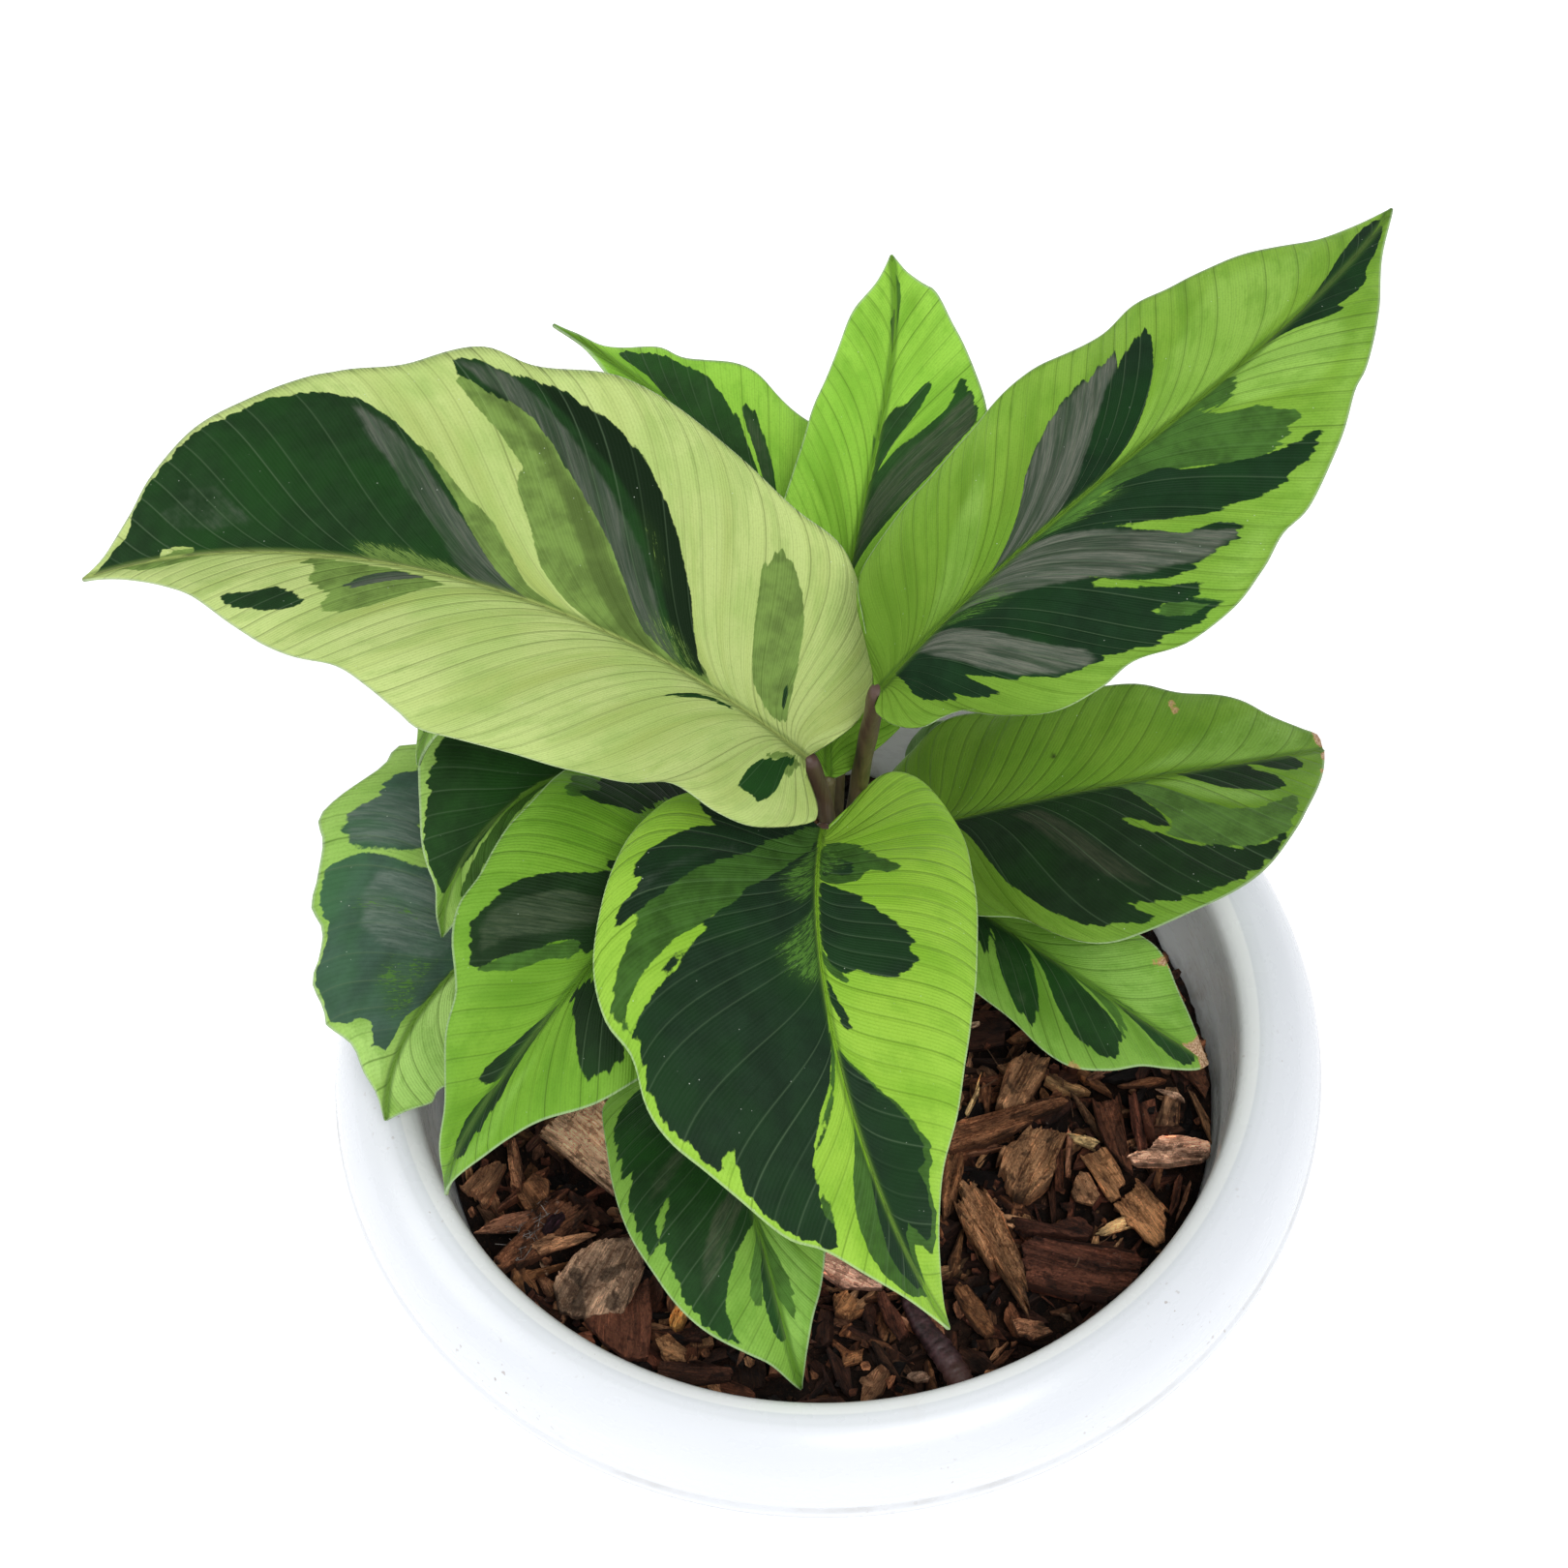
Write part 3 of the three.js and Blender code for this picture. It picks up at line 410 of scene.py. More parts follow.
            ("right", "mid", [(78, 0), (79, 20), (80, 38), (82, 56), (84.4, 72), (88, 86), (91.5, 86),
              (93, 70), (95, 40), (97, 0)]),
            ("right", "dark", [(83, 4), (84, 20), (86, 40), (88, 56), (90, 60), (93, 52), (94.5, 30),
              (95, 0)]),
        ],
    ),
    "leaf_right_low": dict(
        look=SHADED_OLIVE, radius=1.5, roll=(0, 6), fold=(-2, 14), droop=(10, 12),
        rib=[(15, 14, 118), (41, 14, 129), (72, 19, 126), (92, 32, 110)],
        stalk=[(9, 3, 55), (9, 3, 80), (12, 13, 100), (15, 14, 118)],
        left=[(-2, 7.5), (-1, 14.5), (4, 18), (10, 21.5), (16, 22.6), (28, 22.2), (44, 21.4), (55, 19.8),
            (64, 17.4), (72, 13.8), (77, 9.6), (83, 5.8), (86, 3.6)],
        right=[(1, 9.5), (5.5, 18.5), (12, 23.5), (19, 25.5), (25.5, 31.5), (30, 33.3), (35, 32.5),
            (42, 30.5), (50, 27.8), (58, 22.8), (65, 17), (69, 13.3), (77, 6.6)],
        patches=[
            ("left", "light", [(72, 20), (76, 45), (84, 85), (92, 90), (95, 40), (90, 12)], 0.7),
            ("left", "brown", [(95.5, 84), (96.5, 60), (98.5, 50), (100, 100), (95.5, 100)]),
            ("right", "brown", [(97, 84), (99, 60), (100, 100), (97, 100)]),
            ("right", "brown", [(92.5, 96), (93.5, 92), (94, 100), (92.8, 100)]),
            ("left", "brown", [(70.4, 73), (71.2, 73), (71, 79), (70.3, 78)]),
            ("left", "brown", [(69, 81), (69.9, 81), (69.7, 87), (69, 86)]),
            ("left", "speck", [(52, 43), (52.8, 44), (52, 48), (51.3, 47)]),
            ("left", "mid", [(60, 0), (75, 5), (88, 8), (94, 14), (97, 6), (96, 0)]),
            ("right", "dark", [(35, 0), (36.5, 20), (37.5, 45), (39, 60), (42, 75), (44, 88), (47, 91),
              (49, 95), (51, 94), (50, 80), (52, 86), (55, 90), (60, 93), (65, 96), (70, 98), (76, 98),
              (76, 94), (72, 88), (69, 78), (66, 66), (64, 55), (62.5, 45), (62.5, 38), (64.5, 42),
              (65, 52), (66.5, 54), (68, 45), (69, 30), (71, 10), (72, 0)]),
            ("right", "painted_sheen", [(50, 14), (50.5, 45), (52, 65), (55, 80), (57, 70), (56, 45),
              (55.5, 14)], 0.8),
            ("right", "mid", [(72, 0), (69, 30), (68, 48), (66, 56), (64.5, 48), (65, 60), (68, 72),
              (71, 84), (76, 96), (82, 92), (85, 82), (80, 72), (76, 60), (74.5, 45), (74, 30), (74, 12),
              (79, 0)]),
            ("right", "light", [(75, 14), (75, 40), (78, 60), (83, 76), (83, 60), (79.5, 44),
              (78.5, 20)], 0.9),
            ("right", "dark", [(80, 4), (79, 20), (79.3, 40), (81, 50), (83, 62), (85, 70), (86.5, 66),
              (87.5, 50), (87, 30), (88.5, 12), (88, 0), (84, 0)]),
            ("right", "dark", [(89, 4), (89, 35), (90, 50), (92, 63), (93.5, 55), (94.5, 30), (95, 0)]),
        ],
    ),
    "leaf_right_small": dict(
        look=LOW, radius=1.2, roll=(0, 0), fold=(6, 6), droop=(8, 8),
        rib=[(19, 22, 92), (31, 6, 101), (52, -12, 98), (68, -14, 80)],
        stalk=[(12, 8, 55), (13, 10, 68), (16, 21, 80), (19, 22, 92)],
        left=[(0.4, 4), (12, 8.5), (26.5, 12), (36.5, 14), (44.6, 13.8), (51, 12), (58, 8.4), (64, 4.4)],
        right=[(4, 6), (12, 11.7), (19, 13.8), (30, 14.7), (41, 16), (45.6, 16), (50, 13.2), (54.5, 8.5),
            (59, 6), (65, 2.7)],
        patches=[
            ("left", "brown", [(71.5, 100), (72.2, 92), (72, 86), (73.4, 86), (73.2, 92), (74.5, 100)]),
            ("left", "brown", [(94.5, 60), (95, 20), (100, 0), (100, 100), (93.5, 100)]),
            ("right", "brown", [(97.5, 50), (98.5, 0), (100, 0), (100, 100), (97, 100)]),
            ("right", "brown", [(63.5, 97), (64.5, 94), (65.4, 100), (63.4, 100)]),
            ("left", "mid", [(70, 0), (78, 6), (85, 16), (88, 8), (90, 0)]),
            ("left", "dark", [(30, 10), (30, 60), (40, 80), (46, 60), (44, 12)]),
            ("left", "light", [(64, 30), (66, 70), (80, 80), (90, 60), (86, 25)], 0.5),
            ("right", "dark", [(40, 0), (42, 30), (46, 52), (49, 40), (52, 25), (60, 0)]),
            ("right", "dark", [(53, 20), (50.5, 40), (50.5, 60), (52, 74), (54, 80), (58, 80), (60, 66),
              (62, 50), (63.5, 30), (65, 0), (60, 0)]),
            ("right", "painted_sheen", [(51, 30), (51, 70), (57, 76), (60, 50), (60, 20)], 0.35),
            ("right", "dark", [(65.5, 0), (66, 30), (65.5, 50), (66.5, 65), (69, 78), (73, 88),
              (75.5, 86), (76.5, 76), (79, 60), (78.5, 40), (76, 20), (75, 0)]),
            ("right", "mid", [(75, 0), (78, 20), (80, 45), (79, 62), (82, 50), (83, 20), (82, 0)]),
            ("right", "dark", [(84, 0), (85, 25), (87, 45), (89, 65), (91, 80), (93.5, 85), (96, 60),
              (97, 25), (98, 0)]),
        ],
    ),
    "leaf_front_left": dict(
        look=FRESH, radius=1.5, roll=(0, -4), fold=(2, 12), droop=(14, 12),
        rib=[(-17, 6, 137), (-27.3, -17.7, 151), (-62, -48, 140), (-66, -47, 108)],
        stalk=[(-7, 0, 55), (-8, 0, 90), (-15, 5, 115), (-17, 6, 137)],
        left=[(6.4, 6), (15, 12), (25, 17), (34.6, 20), (42, 20.5), (48, 19), (54, 16.5), (62, 10.4),
            (69, 7), (77, 4.2), (87, 1.2)],
        right=[(-6.6, 6.5), (-8.4, 15), (-4, 22), (5, 26.5), (18, 27), (26, 27.4), (32, 26.3), (38, 24.5),
            (44, 23.8), (49, 21.3), (53, 17.5), (56, 15), (62, 12.7), (68.5, 8.7), (75, 5), (85, 2)],
        patches=[
            ("left", "dark", [(68, 16), (65, 22), (62, 32), (59, 45), (57, 60), (55.5, 72), (55, 82),
              (58, 84), (61, 80), (63, 75), (64, 60), (65.5, 45), (67.5, 28), (70, 18)]),
            ("left", "dark", [(20, 10), (24, 60), (34, 80), (44, 60), (46, 10)]),
            ("left", "light", [(74, 40), (80, 80), (90, 86), (92, 60), (84, 50)], 0.6),
            ("left", "dark", [(74, 0), (77, 16), (80, 34), (82, 48), (83.4, 40), (85, 52), (87, 46),
              (89.4, 60), (92, 45), (94, 20), (95, 0)]),
            ("right", "dark", [(8, 46), (22, 44), (30, 45), (34, 47), (35, 58), (37, 66), (36.5, 78),
              (33.5, 70), (30, 78), (26, 64), (16, 60), (8, 60)]),
            ("right", "mid", [(30, 76), (33, 70), (37, 76), (38, 84), (34, 88), (31, 92)]),
            ("right", "dark", [(47.6, 36), (47.4, 43), (48.4, 45), (49.8, 38), (49, 34)]),
            ("right", "dark", [(56, 10), (51.5, 24), (50, 34), (51, 48), (52.5, 66), (55, 78), (58, 82),
              (61, 89), (64, 87), (66.5, 89), (67, 82), (65.5, 68), (64, 50), (62.5, 38), (62.5, 30),
              (66, 18), (64, 10)]),
            ("right", "painted_sheen", [(55, 30), (54.5, 50), (56.5, 65), (60, 82), (64.6, 82), (62.4, 60),
              (61, 40), (60.5, 26)]),
            ("right", "mid", [(62, 28), (63.6, 45), (65.6, 68), (67.4, 84), (67.4, 60), (65.6, 40),
              (66, 22)]),
            ("right", "dark", [(75, 0), (77, 20), (79, 30), (81, 45), (82.3, 50), (83.5, 35), (84, 15),
              (84, 0)]),
            ("right", "dark", [(85, 0), (86, 25), (88, 35), (91, 38), (94, 25), (95, 0)]),
        ],
    ),
    "leaf_left_inner": dict(
        look=DEEP, radius=1.4, roll=(0, 0), fold=(4, 12), droop=(10, 10),
        rib=[(-20, 29, 119), (-44, 33, 131), (-66, 12, 125), (-67, 7, 104)],
        stalk=[(-9, 7, 55), (-10, 8, 80), (-17, 26, 100), (-20, 29, 119)],
        left=[(0.5, 9), (10, 13.7), (22, 14.3), (41, 11), (51, 7), (59, 3.4)],
        right=[(2, 6.3), (9, 12.5), (17, 20), (26, 23.8), (33.5, 23), (37.4, 20.2), (41.4, 15.6),
            (47, 10.6), (52.5, 5.6), (56, 2.4), (62, 0.8)],
        patches=[
            ("left", "mid", [(62, 0), (68, 24), (72, 40), (77, 60), (84, 80), (88, 60), (80, 30), (73, 0)]),
            ("left", "dark", [(76, 0), (79, 16), (82, 24), (87, 18), (89, 0)]),
            ("left", "dark", [(20, 6), (24, 60), (40, 80), (52, 50), (56, 6)]),
            ("right", "dark", [(30, 0), (34, 50), (38, 80), (50, 86), (60, 88), (66, 92), (72, 92),
              (78, 95), (82, 93), (86, 86), (88, 78), (90, 60), (91, 40), (90.5, 14), (90, 0)]),
            ("right", "gap", [(62, 0), (70, 10), (75, 3), (76, 0)]),
        ],
    ),
    "leaf_left_wavy": dict(
        look=WAVY, radius=1.4, roll=(-4, 0), fold=(8, 14), droop=(8, 14),
        rib=[(-31, 30, 90), (-50, 18, 98), (-78, 2, 97), (-79, -19, 85)],
        stalk=[(-12, 3, 55), (-14, 6, 68), (-28, 28, 76), (-31, 30, 90)],
        left=[(1.4, 4), (12, 13.4), (26, 21), (42, 22.3), (57.4, 16.6), (65.7, 9.6), (69.2, 8.5),
            (71.5, 4)],
        right=[(-2.5, 6), (-2.5, 12.6), (2, 21), (9.5, 29), (15.5, 34.5), (21, 39.8), (24.5, 43),
            (28, 40.8), (35.4, 41), (39, 39.7), (41, 35), (45, 30.7), (48, 28.4), (49.6, 24),
            (53.3, 21.2), (56, 20), (58.7, 15.4), (60.5, 13.9), (62, 8.2), (65.5, 5), (69, 1.8)],
        patches=[
            ("left", "light", [(70, 0), (72, 60), (80, 96), (96, 90), (97, 0)], 0.9),
            ("left", "dark", [(20, 8), (24, 70), (46, 80), (56, 50), (58, 8)]),
            ("right", "dark", [(46, 88), (49, 76), (53, 70), (57, 66), (60, 63), (60.8, 72), (61, 90),
              (58, 93), (55, 90), (53, 84), (50, 92)]),
            ("right", "painted_sheen", [(50, 70), (57, 66), (60, 62), (61, 92), (52, 94)]),
            ("right", "dark", [(62.5, 62), (60, 40), (58, 10), (84, 6), (86, 25), (89, 30), (91, 45),
              (90, 58), (89.5, 72), (88, 65), (86.5, 60), (85, 72), (85.5, 85), (84, 97), (78, 98),
              (70, 97), (63, 97), (62, 85)]),
            ("right", "painted_sheen", [(63, 50), (64, 76), (72, 80), (75, 60), (75, 24), (68, 30)]),
            ("right", "fleck", [(76, 26), (76, 56), (80, 60), (86, 40), (85, 24)], 0.6),
            ("right", "fleck", [(67.5, 44), (68, 84), (70.5, 84), (70, 44)], 0.35),
            ("right", "dark", [(10, 14), (14, 60), (30, 80), (40, 60), (44, 14)]),
            ("right", "light", [(86, 62), (85.6, 98), (93, 98), (95, 60), (92, 40), (90, 62)], 0.8),
        ],
    ),
    "leaf_front_low": dict(
        look=LOW, radius=1.2, roll=(6, 0), fold=(6, 6), droop=(10, 14),
        rib=[(-28, -12, 92), (-15.5, -29, 105), (-12, -66, 98), (-8, -70, 73)],
        stalk=[(-10, -5, 55), (-12, -6, 68), (-25, -11, 78), (-28, -12, 92)],
        left=[(1.5, 4.6), (12, 9.3), (25.3, 12.1), (37.3, 13), (48, 10.3), (55, 7.9), (61.6, 4.4)],
        right=[(-3, 3), (-5, 7.5), (0.6, 14), (11.7, 18.8), (26, 21.6), (37, 21.5), (45.8, 18.9),
            (51.8, 16.4), (56.7, 13.1), (62, 7.5), (66.6, 3.5)],
        patches=[
            ("left", "mid", [(74, 0), (76, 30), (78, 50), (82, 62), (85, 64), (85, 40), (86, 10), (87, 0)]),
            ("left", "dark", [(26, 4), (30, 60), (44, 84), (56, 70), (60, 4)]),
            ("left", "light", [(70, 30), (72, 80), (80, 90), (92, 80), (94, 30)], 0.6),
            ("right", "dark", [(22, 0), (26, 24), (28, 50), (29, 60), (31, 74), (33, 82), (35.5, 87),
              (37, 91), (39, 86), (42, 90), (43.6, 82), (45, 88), (47, 90), (48, 78), (50, 84), (53, 92),
              (58, 92), (61.5, 94), (62, 88), (59, 78), (57.6, 64), (58.6, 62), (60, 72), (62, 80),
              (66, 86), (70, 90), (76, 94), (80, 95), (84, 92), (81, 82), (78, 70), (76, 55), (74.5, 40),
              (75, 20), (77, 0)]),
            ("right", "painted_sheen", [(67, 0), (66.6, 40), (69, 58), (72, 72), (75, 80), (74, 62), (72, 45),
              (71.5, 22), (73, 0)]),
            ("right", "painted_sheen", [(51, 40), (52, 64), (55, 80), (57, 76), (56, 60), (55, 40)], 0.6),
            ("right", "dark", [(79, 0), (81, 20), (84, 34), (88, 42), (91, 40), (93, 0)]),
            ("right", "mid", [(77, 0), (78.6, 30), (82, 52), (84, 40), (81, 14), (80, 0)]),
        ],
    ),
    "leaf_back_left": dict(
        look=BACK, radius=1.4, roll=(4, 0), fold=(6, 6), droop=(12, 12),
        rib=[(6, 28, 150), (0, 57, 163), (-24, 82, 163), (-42, 106, 152)],
        stalk=[(1, 16, 55), (1, 18, 90), (6, 27, 130), (6, 28, 150)],
        left=[(-1, 4), (2, 9), (12, 13), (27, 15), (41, 13), (54, 9), (67, 5), (75, 2.6), (83, 1)],
        right=[(2, 6), (8, 12.4), (15, 17), (21, 20), (26, 20.8), (35.5, 19.8), (43, 17), (49.4, 15.5),
            (56, 15.5), (60, 14.3), (64, 11.4), (68, 8.8), (73, 8), (77, 6), (82, 1.8), (88, 0.8)],
        patches=[
            ("left", "dark", [(56, 0), (58, 40), (64, 70), (74, 80), (80, 50), (82, 0)]),
            ("left", "dark", [(22, 6), (24, 50), (36, 74), (42, 40), (40, 6)]),
            ("right", "dark", [(62, 0), (61, 24), (63, 40), (64, 52), (66, 62), (69, 76), (72, 84),
              (74, 86), (78, 82), (84, 80), (86, 70), (86, 55), (83, 42), (81, 20), (80, 0)]),
            ("right", "dark", [(56, 20), (56, 40), (58, 52), (60, 62), (62, 66), (63.5, 62), (62, 48),
              (60.6, 34), (60, 20)]),
            ("right", "painted_sheen", [(56, 20), (57, 48), (60, 64), (63, 66), (63, 48), (60, 20)], 0.45),
            ("right", "mid", [(26, 30), (29, 60), (31, 80), (34, 92), (38, 84), (36, 60), (32, 30)]),
            ("right", "mid", [(41.5, 40), (42.6, 56), (44, 62), (45.4, 60), (44.5, 44)]),
        ],
    ),
    "leaf_back": dict(
        look=BACK, radius=1.1, roll=(-8, -4), fold=(4, 10), droop=(16, 10),
        rib=[(2.6, 6.9, 147.3), (3, 35, 165), (21, 65, 174), (19, 97, 176)],
        stalk=[(-1, 10, 55), (-1, 12, 95), (2.6, 12, 128), (2.6, 6.9, 147.3)],
        left=[(3.7, 2.5), (8, 6), (20, 11), (40, 14), (51, 13.4), (62.7, 12.6), (70.2, 11.4), (78, 9.5),
            (85.8, 6.8), (92.4, 2.8)],
        right=[(1.3, 4), (4.3, 8), (10, 14), (20, 19.5), (34, 22.4), (47.7, 22.1), (57.8, 20.7),
            (66.5, 18), (73, 15), (78, 12.4), (82, 10), (88, 7.2), (90, 5.2), (93.4, 2.3)],
        patches=[
            ("left", "mid", [(74, 0), (78, 14), (84, 8), (86, 0)]),
            ("left", "dark", [(90, 0), (91, 20), (93, 24), (95, 0)]),
            ("left", "dark", [(34, 6), (36, 50), (46, 70), (54, 40), (52, 6)]),
            ("right", "dark", [(63, 0), (63, 35), (64, 55), (65.5, 75), (66.5, 91), (70, 92), (73, 91),
              (75, 86), (73.5, 78), (72.5, 65), (73, 45), (74.5, 20), (76, 0)]),
            ("right", "painted_sheen", [(63, 0), (64, 55), (66.5, 91), (72, 92), (71, 60), (72, 0)], 0.9),
            ("right", "dark", [(76, 6), (75.4, 24), (75.6, 42), (76.4, 55), (77.5, 64), (79, 60),
              (79.2, 40), (81, 25), (82, 4)]),
            ("right", "mid", [(90, 4), (92, 20), (94, 36), (96, 50), (98, 30), (97.5, 0)]),
        ],
    ),
    "leaf_back_right_low": dict(
        look=SHADED_OLIVE, radius=1.25, roll=(0, 0), fold=(8, 8), droop=(12, 12),
        rib=[(19, 37, 97), (32, 31, 108), (56, 29, 106), (67, 32, 92)],
        stalk=[(8, 12, 55), (9, 16, 70), (18, 36, 84), (19, 37, 97)],
        left=[(-3, 4), (-5.9, 11.5), (-1, 15), (10.7, 14), (21, 12.3), (32.5, 10.7), (45, 7)],
        right=[(3, 7), (8.4, 14), (15.6, 17.3), (22.8, 17.3), (31.6, 14.3), (42, 8.2)],
        patches=[
            ("left", "dark", [(44, 0), (42, 40), (46, 70), (56, 80), (62, 60), (60, 0)]),
            ("left", "mid", [(0, 30), (10, 30), (24, 60), (28, 100), (0, 100)]),
            ("right", "dark", [(30, 0), (34, 40), (40, 74), (54, 84), (60, 50), (54, 0)]),
            ("right", "dark", [(66, 0), (70, 50), (76, 78), (82, 50), (80, 0)]),
        ],
    ),
    "leaf_left_upper": dict(
        look=DEEP, radius=1.3, roll=(0, 0), fold=(8, 8), droop=(12, 12),
        rib=[(-19, 36, 141), (-36, 40, 154), (-65, 34, 149), (-69, 29, 126)],
        stalk=[(-5, 12, 55), (-6, 15, 90), (-14, 38, 120), (-19, 36, 141)],
        left=[(0, 5.6), (5, 12.6), (15, 16.7), (26.6, 16.4), (38, 13.2), (49, 6.2), (56, 2)],
        right=[(-1.6, 4.7), (2, 7.7), (11.4, 11.3), (21.6, 13), (32.3, 13), (41.4, 11), (50, 7.3),
            (57, 2.8)],
        patches=[
            ("left", "dark", [(30, 0), (32, 46), (40, 80), (52, 86), (58, 60), (56, 0)]),
            ("left", "mid", [(64, 0), (68, 60), (78, 84), (84, 50), (80, 0)]),
            ("right", "dark", [(44, 0), (46, 50), (54, 84), (68, 88), (76, 60), (74, 0)]),
            ("right", "dark", [(82, 0), (86, 50), (90, 70), (94, 40), (94, 0)]),
        ],
    ),
}

BLADE_THICKNESS = 0.55
VEIN_FOOT_POWER = 2.4
ROWS_PER_MM = 0.95
FEWEST_ROWS = 64
COLUMNS = 26
VEINS_PER_MM = 0.34
DISTANCE_SPAN = 8.0
# The row of vein ends is about this much longer than the rib
ROW_LENGTH_SHARE = 1.1
# Shifts of the vein lanes, so that no two half blades are marked alike
LEFT_LANE_SHIFT = 40.0
NEXT_LEAF_SHIFT = 7.3


class Blade:
    """The leaf's surface, the same as the solid model's: x mm along the rib, y mm across."""

    def __init__(self, leaf):
        self.leaf = leaf
        self.length = curve_length(bezier(leaf["rib"], np.linspace(0, 1, 400)))

    def frame(self, x):
        s = np.clip(x / self.length, 0, 1)
        slope = unit(bezier_slope(self.leaf["rib"], s))
        centre = bezier(self.leaf["rib"], s) + slope * (x - s * self.length)[..., None]
        level = unit(np.cross(slope, (0, 0, 1)))
        above = np.cross(level, slope)
        low, high = self.leaf["roll"]
        turn = np.radians(low + (high - low) * s)[..., None]
        right = level * np.cos(turn) - above * np.sin(turn)
        return centre, right, np.cross(right, slope)

    def point(self, x, y):
        centre, right, normal = self.frame(x)
        fold, droop = self.leaf["fold"], self.leaf["droop"]
        start = np.radians(np.where(y > 0, fold[1], fold[0]))
        bend = np.radians(np.where(y > 0, droop[1], droop[0])) / 30.0
        end = start - bend * np.abs(y)
        out = (np.sin(start) - np.sin(end)) / bend
        lift = (np.cos(end) - np.cos(start)) / bend
        return centre + right * (np.sign(y) * out)[..., None] + normal * lift[..., None]

    def veins(self, side, rows, across):
        """x, y over the half blade: a row for each vein, from the midrib to the margin."""
        outline = [(0, 1.2), *self.leaf[side], (self.length, 0.3)]
        margin = smooth_outline(outline, rows)
        u = np.linspace(0, 1, rows)
        foot = self.length * u**VEIN_FOOT_POWER
        end_x, end_y = margin[:, 0], margin[:, 1]
        lead = 0.45 * np.maximum(np.abs(end_x - foot), 0.6 * end_y)
        p0 = np.stack([foot, 0 * foot], 1)
        p1 = np.stack([foot + lead, 0.1 * end_y], 1)
        p2 = np.stack([end_x - 0.35 * end_y, 0.75 * end_y], 1)
        t = across[None, :, None]
        r = 1 - t
        grid = (r**3 * p0[:, None] + 3 * r * r * t * p1[:, None]
                + 3 * r * t * t * p2[:, None] + t**3 * margin[:, None])
        return grid[..., 0], grid[..., 1]


def polygon_distance(px, py, outline):
    """Signed distance to the outline, positive inside."""
    inside = np.zeros(px.shape, bool)
    nearest = np.full(px.shape, 1e9)
    for (ax, ay), (bx, by) in zip(outline, outline[1:] + outline[:1]):
        dx, dy = bx - ax, by - ay
        run = np.clip(((px - ax) * dx + (py - ay) * dy) / (dx * dx + dy * dy + 1e-9), 0, 1)
        nearest = np.minimum(nearest, np.hypot(px - ax - run * dx, py - ay - run * dy))
        crosses = (ay > py) != (by > py)
        inside ^= crosses & (px < ax + (py - ay) * dx / (dy if abs(dy) > 1e-9 else 1e-9))
    return np.where(inside, nearest, -nearest)


def patch_fields(leaf, side, length, width, u, t):
    """Distances in mm to each kind of patch, over the half blade's rows and columns."""
    # Two kinds of patch are painted light: a silvery sheen over dark green, and lighter ground where more
    # light falls
    kinds = ("dark", "mid", "gap", "clear", "painted_sheen", "deep", "fleck", "light", "brown", "speck")
    fields = {kind: np.full(u.shape, -99.0) for kind in kinds}
    weights = {kind: np.zeros(u.shape) for kind in kinds}
    wide, deep = length * ROW_LENGTH_SHARE, width
    for half, kind, outline, *weight in leaf["patches"]:
        if half != side:
            continue
        scaled = [(a / 100 * wide, b / 100 * deep) for a, b in outline]
        distance = polygon_distance(u * wide, t * deep, scaled)
        fields[kind] = np.maximum(fields[kind], distance)
        share = weight[0] if weight else 1.0
        weights[kind] = np.maximum(weights[kind], share * np.clip(distance / 1.6 + 0.5, 0, 1))
    fields["dark"] = np.minimum(fields["dark"], -fields["gap"])
    fields["mid"] = np.minimum(fields["mid"], -fields["clear"])
    return fields, weights


def crosswise(field, length, width):
    """How far a field's edge runs across the veins, 0 to 1, over rows and columns."""
    rows, columns = field.shape
    along = np.gradient(field, length * ROW_LENGTH_SHARE / rows, axis=0)
    across = np.gradient(field, width / columns, axis=1)
    return np.abs(across) / (np.hypot(along, across) + 1e-6)


def encode(distance):
    return np.clip(0.5 + distance / (2 * DISTANCE_SPAN), 0, 1)


